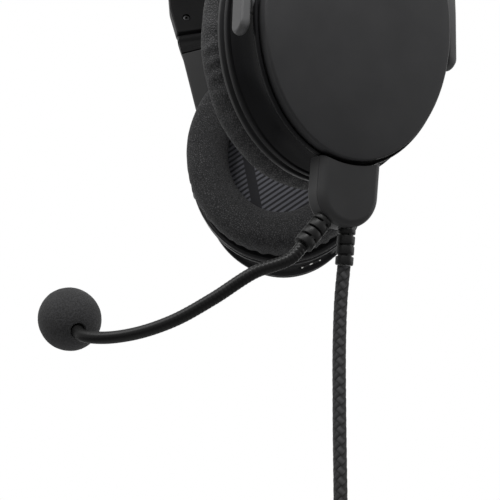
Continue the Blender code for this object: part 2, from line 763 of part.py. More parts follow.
def housing_screw(name, side, frame):
    """Small screw sunk in the housing's inner face, near its front edge."""
    y = HOUSING_SCREW_EDGE - HOUSING_HALF_LOW
    z = HOUSING_LOW + HOUSING_SCREW_UP
    face = -side * HOUSING_THICK / 2
    across = turn(math.pi / 2, "Y")
    hole_at = Matrix.Translation((face, y, z)) @ across
    hole = rod(
        f"{name}_screw_hole", HOUSING_SCREW_RADIUS + RUN, 2 * HOUSING_SCREW_DEPTH, frame, "steel", hole_at
    )
    boolean(bpy.data.objects[f"{name}_housing"], hole, "DIFFERENCE")
    length = HOUSING_SCREW_DEPTH - 2 * GAP
    screw_at = Matrix.Translation((face + side * HOUSING_SCREW_DEPTH / 2, y, z)) @ across
    rod(f"{name}_housing_screw", HOUSING_SCREW_RADIUS, length, frame, "steel", screw_at, 14)


def arch_path():
    """Centre line of the headband in its own plane, right to left, with the way out at each point."""
    reach = ARM_LENGTH + HOUSING_HIGH + GAP
    foot = Vector((stem_foot.x + math.sin(ARM_TOE) * reach, -BAND_DROP + math.cos(ARM_TOE) * reach))
    way = Vector((math.sin(ARM_TOE), math.cos(ARM_TOE)))
    crown = Vector((0.0, PAD_THICK + GAP + CORE_THICK / 2))
    crown_pull = crown + Vector((ARCH_CROWN, 0))
    foot_pull = foot + way * ARCH_SHOULDER
    half = bezier(tuple(crown), tuple(crown_pull), tuple(foot_pull), tuple(foot), ARCH_STEPS)
    points = [Vector((-x, z)) for x, z in reversed(half[1:])] + [Vector(point) for point in half]
    outs = []
    for index, point in enumerate(points):
        before = points[max(index - 1, 0)]
        after = points[min(index + 1, len(points) - 1)]
        along = (after - before).normalized()
        outs.append(Vector((-along.y, along.x)))
    outs[0] = Vector((-way.y, way.x))
    outs[-1] = Vector((way.y, -way.x))
    return points, [out if out.dot(Vector((0, 1))) > -0.6 else -out for out in outs]


def strip(points, outs, low, high):
    """Closed outline between two offsets from a path."""
    upper = [tuple(p + o * high) for p, o in zip(points, outs)]
    lower = [tuple(p + o * low) for p, o in zip(points, outs)]
    return upper + lower[::-1]


def headband(frame):
    """Spring core, outer cover and soft pad of the headband."""
    points, outs = arch_path()
    core = strip(points, outs, -CORE_THICK / 2, CORE_THICK / 2)
    flat_plate("band_spring_core", [core], 2 * CORE_HALF_WIDTH, frame, "steel", XZ_PLANE)
    low = CORE_THICK / 2 + GAP
    cover = strip(points, outs, low, low + COVER_THICK)
    shell = as_mesh(flat_plate("band_cover", [cover], 2 * BAND_HALF_WIDTH, frame, "band_cover", XZ_PLANE))
    round_edges(shell, 0.0009, 2)
    band_pad(points, outs, frame)


def band_pad(points, outs, frame):
    """Pad under the band: thick in the middle, thin at its ends, with rounded, drawn-in sides."""
    top = -CORE_THICK / 2 - GAP
    last = len(points) - 1
    body = bmesh.new()
    loops = []
    corners = 14
    for index in range(last + 1):
        share = abs(2 * index / last - 1) / PAD_REACH
        if share > 1.0:
            continue
        crown = math.cos(share * math.pi / 2) ** 0.5 if share < 1 else 0.0
        depth = PAD_END_THICK + (PAD_THICK - PAD_END_THICK) * crown
        loop = []
        for step in range(corners):
            angle = 2 * math.pi * step / corners
            across = math.copysign(abs(math.cos(angle)) ** 0.6, math.cos(angle)) * PAD_HALF_WIDTH
            along = math.copysign(abs(math.sin(angle)) ** 0.6, math.sin(angle)) * depth / 2
            centre = points[index] + outs[index] * (top - depth / 2 + along)
            loop.append(body.verts.new((centre.x, across, centre.y)))
        loops.append(loop)
    for first, second in zip(loops, loops[1:]):
        for step in range(corners):
            after = (step + 1) % corners
            body.faces.new((first[step], first[after], second[after], second[step]))
    body.faces.new(loops[0])
    body.faces.new(loops[-1])
    mesh_object("band_pad", body, frame, "suede")


def module_outline(inset, edge):
    """U-shaped outline of the microphone module: its top follows one of the cup's ovals."""
    half = MODULE_HALF - inset
    half_width, half_height = oval(edge - GAP, CUP_UPRIGHT)
    centre = (MODULE_BACK, MODULE_BOTTOM + MODULE_HALF)
    points = []
    for step in range(9):
        y = MODULE_BACK - half + 2 * half * step / 8
        points.append((y, -half_height * math.sqrt(1 - (y / half_width) ** 2) - inset))
    return points + arc(centre, half, 0, -180, 16)


def module(frame):
    """Shells of the module, the front one over the lip, its board and the jack to the cup."""
    def shell(name, low, high, edge):
        local = Matrix.Translation(((low + high) / 2, 0, 0)) @ YZ_PLANE
        outline = module_outline(0.0, edge)
        return as_mesh(flat_plate(name, [outline], high - low, frame, "module_plastic", local))

    front = shell("module_front_shell", LIP_TOP + GAP, MODULE_OUT, CAP_INSET)
    round_edges(front, MODULE_EDGE, 3)
    back = shell("module_back_shell", MODULE_IN, LIP_TOP, LIP_INSET)
    depth = 2 * MODULE_POCKET
    local = Matrix.Translation((LIP_TOP, 0, 0)) @ YZ_PLANE
    outline = module_outline(MODULE_WALL, LIP_INSET)
    pocket = as_mesh(flat_plate("module_pocket", [outline], depth, frame, "steel", local))
    boolean(back, pocket, "DIFFERENCE")
    board_low = LIP_TOP - MODULE_POCKET + GAP
    local = Matrix.Translation((board_low + BOARD_THICK / 2, 0, 0)) @ YZ_PLANE
    outline = module_outline(MODULE_WALL + GAP, LIP_INSET)
    flat_plate("module_board", [outline], BOARD_THICK, frame, "board_green", local)
    half_width, half_height = oval(LIP_INSET - GAP, CUP_UPRIGHT)
    top = -half_height * math.sqrt(1 - (MODULE_BACK / half_width) ** 2) + GAP
    length = JACK_TOP - top
    jack_at = Matrix.Translation((JACK_X, MODULE_BACK, top + length / 2))
    rod("module_jack", JACK_RADIUS, length, frame, "plated_metal", jack_at, 14)


def jack_socket(frame):
    """Socket in the left cup's floor, with the hole through the shell and a notch in the board."""
    half_height = oval(WAIST_INSET, CUP_UPRIGHT)[1]
    bottom = -half_height + GAP
    inner = JACK_RADIUS + RUN
    outer = JACK_SOCKET_RADIUS
    profile = ((outer, JACK_TOP), (outer, bottom), (inner, bottom), (inner, JACK_TOP))
    local = Matrix.Translation((JACK_X, MODULE_BACK, 0))
    turned("left_jack_socket", profile, frame, "plated_metal", local, 16, closed=True)
    hole_at = Matrix.Translation((JACK_X, MODULE_BACK, -half_height))
    hole = rod("jack_hole", outer + RUN, 6 * WALL + SHELF_INSET, frame, "steel", hole_at, 16)
    boolean(bpy.data.objects["left_cup_shell"], hole, "DIFFERENCE")
    notch_at = Matrix.Translation((BOARD_TOP, MODULE_BACK, -half_height))
    notch_size = (4 * BOARD_THICK, 2 * (outer + 2 * RUN), 2 * (half_height + JACK_TOP + 2 * RUN))
    notch = box("jack_notch", notch_size, frame, "steel", notch_at)
    boolean(bpy.data.objects["left_circuit_board"], notch, "DIFFERENCE")


def relief_profile(radius, thin, length, segments):
    """Moulded strain relief: ring segments with grooves between them, and a tapered end."""
    profile = [(0.0, 0.0)]
    pitch = length / (segments + 0.35)
    for index in range(segments):
        start = -index * pitch
        ring = radius * (1 - 0.05 * index)
        end = start - 0.78 * pitch
        profile += [(ring, start), (ring, end), (thin, end), (thin, start - pitch)]
    profile += [(thin, -length), (0.0, -length)]
    return profile


def boom(frame):
    """Strain relief, ribbed gooseneck, microphone capsule and the foam, a little longer than round."""
    way = Vector((0, -math.sin(BOOM_ANGLE), -math.cos(BOOM_ANGLE)))
    start = Vector((BOOM_X, MODULE_BACK, MODULE_BOTTOM + MODULE_HALF)) + way * (MODULE_HALF + GAP)
    profile = relief_profile(BOOM_RELIEF_RADIUS, BOOM_RADIUS + BOOM_RIB_DEPTH, BOOM_RELIEF_LENGTH, 2)
    turned("boom_strain_relief", profile, frame, "rubber", z_along(-way, start), 20)
    neck_start = start + way * (BOOM_RELIEF_LENGTH + GAP)
    root = frame_empty("boom_frame", frame.matrix_world @ Matrix.Translation(neck_start))
    straight = [neck_start, neck_start + way * 2 * BOOM_RADIUS]
    route = smooth_route([*straight, *BOOM_ROUTE], BOOM_RADIUS / 2)
    lengths = [0.0]
    for before, after in zip(route, route[1:]):
        lengths.append(lengths[-1] + (after - before).length)
    points, radii = [], []
    for index in range(2 * BOOM_RIBS + 1):
        want = lengths[-1] * index / (2 * BOOM_RIBS)
        spot = max(i for i, value in enumerate(lengths) if value <= want + 1e-9)
        spot = min(spot, len(route) - 2)
        share = (want - lengths[spot]) / (lengths[spot + 1] - lengths[spot])
        points.append(route[spot].lerp(route[spot + 1], share) - neck_start)
        radii.append(BOOM_RADIUS + (BOOM_RIB_DEPTH if index % 2 else 0.0))
    radii[0] = BOOM_ROOT_RADIUS
    tube("boom_gooseneck", points, radii, 2, root, "gooseneck")
    tip_way = (points[-1] - points[-3]).normalized()
    capsule_middle = points[-1] + tip_way * (GAP + CAPSULE_LENGTH / 2)
    capsule_at = z_along(tip_way, capsule_middle)
    rod("mic_capsule", CAPSULE_RADIUS, CAPSULE_LENGTH, root, "plated_metal", capsule_at, 16)
    body = bmesh.new()
    bmesh.ops.create_uvsphere(body, u_segments=20, v_segments=12, radius=FOAM_RADIUS)
    bmesh.ops.scale(body, vec=(1.0, 1.0, FOAM_STRETCH), verts=body.verts)
    foam = mesh_object("mic_foam", body, root, "foam", capsule_at)
    bore_length = CAPSULE_LENGTH / 2 + GAP + 2 * FOAM_RADIUS
    bore_middle = capsule_middle + tip_way * (CAPSULE_LENGTH / 2 + GAP - bore_length / 2)
    bore = rod("foam_bore", FOAM_BORE, bore_length, root, "steel", z_along(tip_way, bore_middle), 16)
    boolean(foam, bore, "DIFFERENCE")


def least_gap(points, diameter, apart):
    """Least clear distance between stretches of one tube that lie apart along it."""
    least = math.inf
    for i in range(len(points)):
        for j in range(i + apart, len(points)):
            least = min(least, (points[i] - points[j]).length - diameter)
    return least


def hank_points():
    """Loops of the tied hank, in its own axes: X across, Y through, Z up, entering at the top."""
    outer = HANK_INNER + HANK_TURNS * HANK_STEP
    total = 2 * HANK_TURNS + 0.25
    count = round(total * HANK_POINTS)
    points = []
    for index in range(count + 1):
        turns = min(total, index / HANK_POINTS)
        if turns <= HANK_TURNS:
            half, layer = outer - HANK_STEP * turns, 0.0
        elif turns <= HANK_TURNS + 0.5:
            half, layer = HANK_INNER, (1 - math.cos(2 * math.pi * (turns - HANK_TURNS))) / 2
        else:
            half, layer = HANK_INNER + HANK_STEP * (turns - HANK_TURNS - 0.5), 1.0
        phase = turns % 1.0
        run_share = 0.25
        if phase < run_share:
            z = HANK_HALF_RUN * (1 - 2 * phase / run_share)
            x = half - HANK_WAIST * math.cos(math.pi * z / (2 * HANK_HALF_RUN)) ** 2
        elif phase < 0.5:
            angle = -math.pi * (phase - run_share) / 0.25
            x, z = half * math.cos(angle), -HANK_HALF_RUN + half * math.sin(angle)
        elif phase < 0.5 + run_share:
            z = HANK_HALF_RUN * (2 * (phase - 0.5) / run_share - 1)
            x = -half + HANK_WAIST * math.cos(math.pi * z / (2 * HANK_HALF_RUN)) ** 2
        else:
            angle = math.pi - math.pi * (phase - 0.5 - run_share) / 0.25
            x, z = half * math.cos(angle), HANK_HALF_RUN + half * math.sin(angle)
        points.append(Vector((x, layer * HANK_STEP, z)))
    return points


def cord(frame):
    """Strain relief under the module, the hanging cord, its tied hank and the plug."""
    down = Vector((0, 0, -1))
    bottom = MODULE_BOTTOM + MODULE_HALF - math.sqrt(MODULE_HALF ** 2 - (CORD_BACK - MODULE_BACK) ** 2)
    exit_at = Vector((CORD_X, CORD_BACK, bottom - GAP))
    thin = CORD_DIAMETER / 2
    profile = relief_profile(CORD_RELIEF_RADIUS, thin, CORD_RELIEF_LENGTH, 3)
    turned("cord_strain_relief", profile, frame, "rubber", Matrix.Translation(exit_at), 16)
    relief_end = frame.matrix_world @ (exit_at + down * (CORD_RELIEF_LENGTH + GAP))
    route = [Vector((0, 0, 0)), *(Vector(point) for point in CORD_ROUTE)]
    hanging = smooth_route(route, 2.5 * CORD_DIAMETER)
    cord_frame = frame_empty("cord_frame", Matrix.Translation(relief_end))
    tube("cord_hanging", hanging, [thin] * len(hanging), 2, cord_frame, "braid")

    loops = hank_points()
    entry = route[-1] + down * GAP
    lead = [Vector((0, 0, 0)), down * CORD_DIAMETER, down * 2 * CORD_DIAMETER]
    outer_half = HANK_INNER + HANK_TURNS * HANK_STEP
    centre = entry + down * 3 * CORD_DIAMETER - Vector((0, outer_half, HANK_HALF_RUN))
    turned_loops = [centre + Vector((-p.y, p.x, p.z)) for p in loops]
    tail_start = turned_loops[-1]
    tail = [tail_start + down * HANK_TAIL * step / 8 for step in range(1, 9)]
    path = [entry + point for point in lead] + turned_loops + tail
    clear = least_gap(turned_loops + tail, CORD_DIAMETER, 10)
    print("least gap in the hank, mm:", round(1000 * clear, 3))
    length = sum((b - a).length for run in (hanging, path) for a, b in zip(run, run[1:]))
    print("cord length, m:", round(length, 4))
    tube("cord_hank", path, [thin] * len(path), 1, cord_frame, "braid")

    tie(centre, outer_half, cord_frame)
    plug(path[-1] + down * GAP, cord_frame)


def tie(centre, outer_half, frame):
    """Band round the waist of the hank."""
    half = outer_half - HANK_WAIST + CORD_DIAMETER / 2 + HANK_STEP / 4
    depth = HANK_STEP + CORD_DIAMETER + 4 * GAP
    inner = [
        *arc((half - depth / 2, 0), depth / 2, -90, 90, 6),
        *arc((depth / 2 - half, 0), depth / 2, 90, 270, 6),
    ]
    outer_depth = depth + 2 * TIE_THICK
    outer = [
        *arc((half - depth / 2, 0), outer_depth / 2, -90, 90, 6),
        *arc((depth / 2 - half, 0), outer_depth / 2, 90, 270, 6),
    ]
    middle = centre + Vector((-HANK_STEP / 2, 0, 0))
    local = Matrix.Translation(middle) @ turn(math.pi / 2, "Z")
    flat_plate("hank_tie", [outer, inner], 2 * TIE_HALF_HEIGHT, frame, "rubber", local)


def plug(at, frame):
    """Handle and stepped pin of the plug, hanging below the hank."""
    bore = PLUG_PIN_RADIUS + GAP
    seat = -PLUG_LENGTH + PLUG_SEAT
    profile = (
        (0.0, 0.0), (PLUG_RADIUS * 0.55, 0.0), (PLUG_RADIUS * 0.62, -PLUG_LENGTH * 0.2),
        (PLUG_RADIUS, -PLUG_LENGTH * 0.34), (PLUG_RADIUS, -PLUG_LENGTH), (bore, -PLUG_LENGTH),
        (bore, seat), (0.0, seat),
    )
    turned("plug_handle", profile, frame, "rubber", Matrix.Translation(at), 24)
    neck = PLUG_PIN_RADIUS * 0.82
    length = PLUG_SEAT - GAP + PLUG_PIN_LENGTH
    profile = (
        (0.0, 0.0), (PLUG_PIN_RADIUS, 0.0), (PLUG_PIN_RADIUS, -length * 0.62), (neck, -length * 0.65),
        (neck, -length * 0.69), (PLUG_PIN_RADIUS, -length * 0.72), (PLUG_PIN_RADIUS, -length * 0.80),
        (neck * 0.8, -length * 0.86), (PLUG_PIN_RADIUS * 0.9, -length * 0.92),
        (neck * 0.5, -length), (0.0, -length),
    )
    pin_at = Matrix.Translation(at + Vector((0, 0, seat - GAP)))
    turned("plug_pin", profile, frame, "plated_metal", pin_at, 20)


def right_controls(frame):
    """Buttons, power switch, charging socket, lights and battery of the right cup."""
    shell = bpy.data.objects["right_cup_shell"]
    for name, angle in BUTTON_ANGLES.items():
        seat = on_waist(angle, WAIST_INSET, -BUTTON_X)
        slot_size = (BUTTON_SIZE[0] + 2 * RUN, BUTTON_SIZE[1] + 2 * RUN, 8 * WALL)
        boolean(shell, box(f"{name}_slot", slot_size, frame, "steel", seat), "DIFFERENCE")
        lift = Matrix.Translation((0, 0, BUTTON_PROUD - BUTTON_SIZE[2] / 2))
        button = box(name, BUTTON_SIZE, frame, "yoke_grey", seat @ lift)
        round_edges(button, 0.0005, 2)
    seat = on_waist(SWITCH_ANGLE, WAIST_INSET, -BUTTON_X)
    slot_size = (SWITCH_SIZE[0] + 2 * RUN, SWITCH_SIZE[1] + SWITCH_TRAVEL + 2 * RUN, 8 * WALL)
    slot_at = seat @ Matrix.Translation((0, SWITCH_TRAVEL / 2, 0))
    boolean(shell, box("power_switch_slot", slot_size, frame, "steel", slot_at), "DIFFERENCE")
    lift = Matrix.Translation((0, 0, BUTTON_PROUD - SWITCH_SIZE[2] / 2))
    round_edges(box("power_switch", SWITCH_SIZE, frame, "yoke_grey", seat @ lift), 0.0005, 2)

    floor = -oval(WAIST_INSET, CUP_UPRIGHT)[1]
    hole_size = (SOCKET_SIZE[0] + 2 * RUN, SOCKET_SIZE[1] + 2 * RUN, 6 * WALL)
    hole_at = Matrix.Translation((-SOCKET_X, SOCKET_BACK, floor))
    boolean(shell, box("socket_hole", hole_size, frame, "steel", hole_at), "DIFFERENCE")
    socket_at = Matrix.Translation((-SOCKET_X, SOCKET_BACK, floor + SOCKET_SIZE[2] / 2 + RUN))
    socket = box("charging_socket", SOCKET_SIZE, frame, "plated_metal", socket_at)
    mouth = tuple(size - 2 * SOCKET_WALL for size in SOCKET_SIZE)
    mouth_at = Matrix.Translation((0, 0, -2 * SOCKET_WALL)) @ socket_at
    boolean(socket, box("socket_mouth", mouth, frame, "steel", mouth_at), "DIFFERENCE")
    seat = on_waist(LIGHT_ANGLE, WAIST_INSET, 0.0)
    hole_size = (LIGHT_SIZE[0] + 2 * RUN, LIGHT_SIZE[1] + 2 * RUN, 4 * WALL)
    boolean(shell, box("light_hole", hole_size, frame, "steel", seat), "DIFFERENCE")
    sink = Matrix.Translation((0, 0, -LIGHT_SIZE[2] / 2))
    box("status_light", LIGHT_SIZE, frame, "light_white", seat @ sink)
    low = BOARD_TOP - BOARD_THICK - GAP - BATTERY_SIZE[0]
    battery_at = Matrix.Translation((-(low + BATTERY_SIZE[0] / 2), 0, BATTERY_UP))
    cell = box("battery", BATTERY_SIZE, frame, "battery_grey", battery_at)
    round_edges(cell, 0.0008, 2)


def build():
    band = frame_empty("band_frame", band_matrix)
    headband(band)
    for name, side in SIDES.items():
        frames = side_frames(name, side)
        housing(name, frames["arm"])
        housing_screw(name, side, frames["arm"])
        slider(name, frames["arm"])
        fold_pin(name, frames["arm"])
        fold_knuckle(name, frames["arm"])
        yoke(name, frames["yoke"])
        tilt_pins(name, frames["yoke"])
        cup_shell(name, side, frames["cup"])
        cup_cap(name, side, frames["cup"])
        baffle(name, side, frames["cup"])
        cushion(name, side, frames["cup"])
        scrim(name, side, frames["cup"])
        driver(name, side, frames["cup"])
        cup_board(name, side, frames["cup"])
        pivot_bushes(name, frames["cup"])
        if name == "left":
            module(frames["cup"])
            jack_socket(frames["cup"])
            bpy.context.view_layer.update()
            boom(frames["cup"])
            cord(frames["cup"])
        else:
            right_controls(frames["cup"])


build()
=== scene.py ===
"""Looks of the headset: smooth shells, plumped cushions, braided cord, gooseneck and finishes.

Metres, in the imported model's frame: +Z up, the wearer faces -Y and the left cup is at +X.
"""
import math

import bmesh
import bpy
from mathutils import Matrix, Quaternion, Vector, noise
from mathutils.bvhtree import BVHTree


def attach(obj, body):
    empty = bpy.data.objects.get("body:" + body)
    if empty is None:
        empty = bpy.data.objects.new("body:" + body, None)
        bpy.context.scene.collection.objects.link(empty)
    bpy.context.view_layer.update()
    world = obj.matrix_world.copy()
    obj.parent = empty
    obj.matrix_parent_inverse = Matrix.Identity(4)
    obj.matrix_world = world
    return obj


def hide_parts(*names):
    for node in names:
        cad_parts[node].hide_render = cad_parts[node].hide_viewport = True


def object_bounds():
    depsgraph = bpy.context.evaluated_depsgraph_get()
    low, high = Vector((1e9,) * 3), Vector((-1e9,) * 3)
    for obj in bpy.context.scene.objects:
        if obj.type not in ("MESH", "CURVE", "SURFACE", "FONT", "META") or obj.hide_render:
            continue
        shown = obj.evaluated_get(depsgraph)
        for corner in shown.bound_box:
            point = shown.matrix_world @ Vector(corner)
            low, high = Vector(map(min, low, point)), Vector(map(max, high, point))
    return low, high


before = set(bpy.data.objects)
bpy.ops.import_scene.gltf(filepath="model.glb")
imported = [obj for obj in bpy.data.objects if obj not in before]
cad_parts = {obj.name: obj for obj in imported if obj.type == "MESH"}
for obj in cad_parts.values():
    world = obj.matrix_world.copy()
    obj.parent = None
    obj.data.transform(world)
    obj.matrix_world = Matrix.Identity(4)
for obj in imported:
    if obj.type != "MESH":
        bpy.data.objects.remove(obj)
CAD_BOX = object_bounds()

# How the cups hang, as in the model
CUP_TOE = math.radians(11.4)
YOKE_TOE = math.radians(4.4)
CUP_SWIVEL = math.radians(15.7)
REST_SWIVEL = math.radians(4.4)
YOKE_LEAN = math.radians(15.0)
CUSHION_FACE_X = 0.0375
BAND_DROP = 0.142
GAP = 0.0003

# Cup: half sizes of its flange, insets of its other ovals, and depths out from the tilt axis
CUP_HALF_WIDTH = 0.0365
CUP_HALF_HEIGHT = 0.045
CUP_UPRIGHT = 0.75
OVAL_STEPS = 144
WALL = 0.002
WAIST_INSET = 0.0049
LIP_INSET = 0.0036
CAP_INSET = 0.0052
GROOVE = 0.0005
SHELL_FRONT = -0.0081
SHELF_TOP = 0.0029
LIP_TOP = 0.0041
CAP_EDGE = 0.0074
CAP_CROWN = 0.0011
FLANGE_BACK = SHELL_FRONT - GAP
FLANGE_FRONT = FLANGE_BACK - 0.0054
CUSHION_THICK = 0.0140
CUSHION_BAND = 0.0145
CUSHION_OVERHANG = 0.001
CUSHION_DRAW = 0.16
CUSHION_INNER_BULGE = 0.0026
CUSHION_BASE = FLANGE_FRONT - GAP
CUSHION_FACE = CUSHION_BASE - CUSHION_THICK
SCRIM_THICK = 0.0008

# Yoke, fold knuckle and housing
LEG_IN = CUP_HALF_WIDTH - LIP_INSET + 0.0009
LEG_THICK = 0.003
LEG_OUT = LEG_IN + LEG_THICK
FRONT_LEG_TIPS = {"left": 0.0108, "right": 0.0083}
BACK_LEG_TIP = 0.0060
LEG_STRAIGHT = 0.030
TILT_PIN_RADIUS = 0.0016
STEM_RADIUS = 0.0026
STEM_STUB = 0.0022
RUN = 0.0003
YOKE_THICK = 0.0064
YOKE_OPENING_UP = 0.0515
YOKE_TOP_HALF = 0.0219
STEM_BACK = -0.006
STEM_LENGTH = 0.0662
BUSH_RADIUS = 0.0034
KNUCKLE_RADIUS = 0.0028
KNUCKLE_DROP = 0.0050
KNUCKLE_HALF = 0.0224
FOLD_PIN_RADIUS = 0.0010
SLIDER_HALF = 0.007
SLIDER_THICK = 0.0016
SLIDER_EYE = 0.0020
SLIDER_LENGTH = 0.028
HOUSING_LOW = KNUCKLE_RADIUS + GAP
HOUSING_HIGH = HOUSING_LOW + 0.029
HOUSING_THICK = 0.0062
HOUSING_HALF_LOW = 0.0224
HOUSING_FRONT_MIDDLE = 0.0228
HOUSING_MIDDLE_UP = 0.013
HOUSING_HALF_HIGH = 0.0205
SCREW_RADIUS = 0.0014
SCREW_DEPTH = 0.0022
SCREW_UP = 0.007
SCREW_EDGE = 0.0055
ARM_LENGTH = STEM_LENGTH + KNUCKLE_DROP

# Headband
BAND_HALF_WIDTH = 0.019
COVER_THICK = 0.0024
CORE_THICK = 0.0008
PAD_THICK = 0.011
PAD_END_THICK = 0.004
PAD_HALF_WIDTH = 0.0185
PAD_REACH = 0.66
STITCH_REACH = 0.055
STITCH_ACROSS = 0.0125
ARCH_SHOULDER = 0.038
ARCH_CROWN = 0.050
ARCH_STEPS = 60

# Microphone module and boom
MODULE_BACK = 0.0010
MODULE_HALF = 0.0098
MODULE_BOTTOM = -0.0604
MODULE_IN = -0.0018
MODULE_OUT = 0.0068
MODULE_ROUND = 0.0024
JACK_X = -0.0004
JACK_RADIUS = 0.0024
JACK_LENGTH = 0.009
BOOM_X = 0.0024
BOOM_ANGLE = math.radians(36.0)
BOOM_RELIEF_LENGTH = 0.0100
BOOM_RELIEF_RADIUS = 0.0029
BOOM_RADIUS = 0.00175
BOOM_RIB_DEPTH = 0.00011
BOOM_RIB_PITCH = 0.0012
BOOM_ROUTE = (
    (-0.0012, -0.0237, -0.0762),
    (-0.0057, -0.0332, -0.0844),
    (-0.0110, -0.0425, -0.0915),
    (-0.0175, -0.0516, -0.0960),
    (-0.0230, -0.0577, -0.0975),
    (-0.0290, -0.0615, -0.0973),
    (-0.0391, -0.0618, -0.0937),
)
CAPSULE_LENGTH = 0.0085
FOAM_RADIUS = 0.0092
FOAM_STRETCH = 1.15

# Cord, hank and plug
CORD_X = 0.0028
CORD_BACK = 0.0028
CORD_DIAMETER = 0.0038
CORD_RELIEF_LENGTH = 0.0102
CORD_RELIEF_RADIUS = 0.0026
CORD_ROUTE = (
    (-0.0016, -0.0006, -0.0085),
    (-0.0027, -0.0010, -0.0200),
    (-0.0031, -0.0012, -0.0400),
    (-0.0031, -0.0012, -0.0620),
    (-0.0031, -0.0012, -0.0840),
    (-0.0031, -0.0012, -0.1000),
)
BRAID_STRANDS = 4
BRAID_PITCH = 0.0110
BRAID_DEPTH = 0.00016
HANK_TURNS = 3
HANK_STEP = 0.0050
HANK_INNER = 0.0114
HANK_HALF_RUN = 0.027
HANK_WAIST = 0.003
HANK_POINTS = 24
HANK_TAIL = 0.062
TIE_HALF_HEIGHT = 0.005
TIE_THICK = 0.0012
PLUG_RADIUS = 0.0065
PLUG_LENGTH = 0.036
PLUG_PIN_RADIUS = 0.00355
PLUG_PIN_LENGTH = 0.028
PLUG_SEAT = 0.004

# Controls on the right cup
BUTTON_ANGLES = (-50.0, -36.0, -22.0)
BUTTON_SIZE = (0.0032, 0.0066, 0.0026)
BUTTON_X = -0.0012
SWITCH_ANGLE = 24.0
SWITCH_SIZE = (0.0030, 0.0060, 0.0026)
SWITCH_TRAVEL = 0.004
SOCKET_SIZE = (0.0028, 0.0078, 0.0060)
SOCKET_BACK = -0.003
SOCKET_X = -0.0025
LIGHT_SIZE = (0.0014, 0.0080, 0.0016)
LIGHT_ANGLE = -70.0

# Camera and lamps
CAMERA_AT = (0.35930, -0.02497, -0.30010)
CAMERA_AZIMUTH = math.radians(83.286)
CAMERA_ELEVATION = math.radians(-17.148)
CAMERA_ROLL = math.radians(0.658)
CAMERA_LENS = 81.909
MIDDLE = (0.0, 0.03, -0.15)
LAMPS = (  # name, place, target, size, power
    ("top_light", (0.16, 0.02, -0.035), (0.075, 0.03, -0.13), 0.08, 0.42),
    ("front_light", (0.25, -0.35, 0.30), MIDDLE, 0.4, 4.2),
    ("back_light", (0.05, 0.65, 0.00), MIDDLE, 0.5, 2.0),
    ("low_light", (0.00, 0.00, -0.46), (0.0, 0.03, -0.2), 0.35, 0.2),
)
FILL_LIGHT = 0.22
CLOTH = {
    "vertex_group_mass": "held", "use_pressure": True, "uniform_pressure_force": 4.0, "tension_stiffness": 30.0,
    "compression_stiffness": 30.0, "bending_stiffness": 0.1, "mass": 0.05, "quality": 6,
}
CLOTH_FRAMES = 20
TUCK_DEPTH = 0.00042
TUCK_LEVEL = 0.4
LUMP_HEIGHT = 0.00035
LUMPS_PER_METRE = 90.0
SCRIM_STEPS = 96
SCRIM_SAG = 0.0004
SHARP_ANGLE = 38.0

SIDES = {"left": 1, "right": -1}
YZ_PLANE = Matrix(((0, 0, 1, 0), (1, 0, 0, 0), (0, 1, 0, 0), (0, 0, 0, 1)))
ALONG_Y = Matrix.Rotation(-math.pi / 2, 4, "X")


# Places of the moving groups


def turn(angle, axis):
    return Matrix.Rotation(angle, 4, axis)


cup_turn = turn(CUP_SWIVEL, "Z") @ turn(CUP_TOE, "Y")
yoke_turn = turn(CUP_SWIVEL, "Z") @ turn(YOKE_TOE, "Y")
pivot_from_face = Vector((CUSHION_FACE_X, 0, 0)) + cup_turn @ Vector((-CUSHION_FACE, 0, 0))
stem_foot = pivot_from_face + yoke_turn @ Vector((0, STEM_BACK, 0))
stem_way = (yoke_turn @ Vector((0, -math.sin(YOKE_LEAN), math.cos(YOKE_LEAN)))).normalized()
ARM_TOE = math.atan2(stem_way.x, math.hypot(stem_way.y, stem_way.z))
BAND_PLACE = turn(math.atan2(-stem_way.y, stem_way.z), "X")
hang = BAND_PLACE @ Vector((stem_foot.x, 0, -BAND_DROP)) - stem_foot


def mirrored(matrix, side):
    """A left-hand placement, reflected to the right without turning it inside out."""
    if side > 0:
        return matrix
    flip = Matrix.Scale(-1, 4, (1, 0, 0))
    return flip @ matrix @ flip


def side_places(side):
    """Placements of one side's arm, yoke and cup."""
    arm = (
        BAND_PLACE
        @ Matrix.Translation((stem_foot.x, 0, -BAND_DROP))
        @ turn(ARM_TOE, "Y")
        @ Matrix.Translation((0, 0, ARM_LENGTH))
    )
    yoke = Matrix.Translation(stem_foot + hang) @ yoke_turn
    cup = Matrix.Translation(pivot_from_face + hang) @ cup_turn
    stem = Vector((side * stem_way.x, stem_way.y, stem_way.z))
    foot = Matrix.Translation(mirrored(yoke, side).to_translation())
    swung = foot @ Matrix.Rotation(REST_SWIVEL, 4, stem) @ foot.inverted()
    return {
        "arm": mirrored(arm, side),
        "yoke": swung @ mirrored(yoke, side),
        "cup": swung @ mirrored(cup, side),
    }


PLACES = {name: side_places(side) for name, side in SIDES.items()}


def oval(inset, upright=1.0):
    return CUP_HALF_WIDTH - inset, CUP_HALF_HEIGHT - upright * inset


def waist_place(angle, inset, x):
    """A placement on a cup's oval: local Z out, local Y along the oval, local X along the cup's axis."""
    half_width, half_height = oval(inset, CUP_UPRIGHT)
    turned = math.radians(angle)
    point = Vector((0, half_width * math.cos(turned), half_height * math.sin(turned)))
    normal = Vector((0, point.y / half_width ** 2, point.z / half_height ** 2)).normalized()
    placement = Matrix.Identity(4)
    placement.col[0].xyz = (1, 0, 0)
    placement.col[1].xyz = (0, -normal.z, normal.y)
    placement.col[2].xyz = normal
    placement.col[3].xyz = (x, point.y, point.z)
    return placement


# Camera, light and floor


def linked(name, data):
    """A new object in the scene."""
    item = bpy.data.objects.new(name, data)
    bpy.context.scene.collection.objects.link(item)
    return item


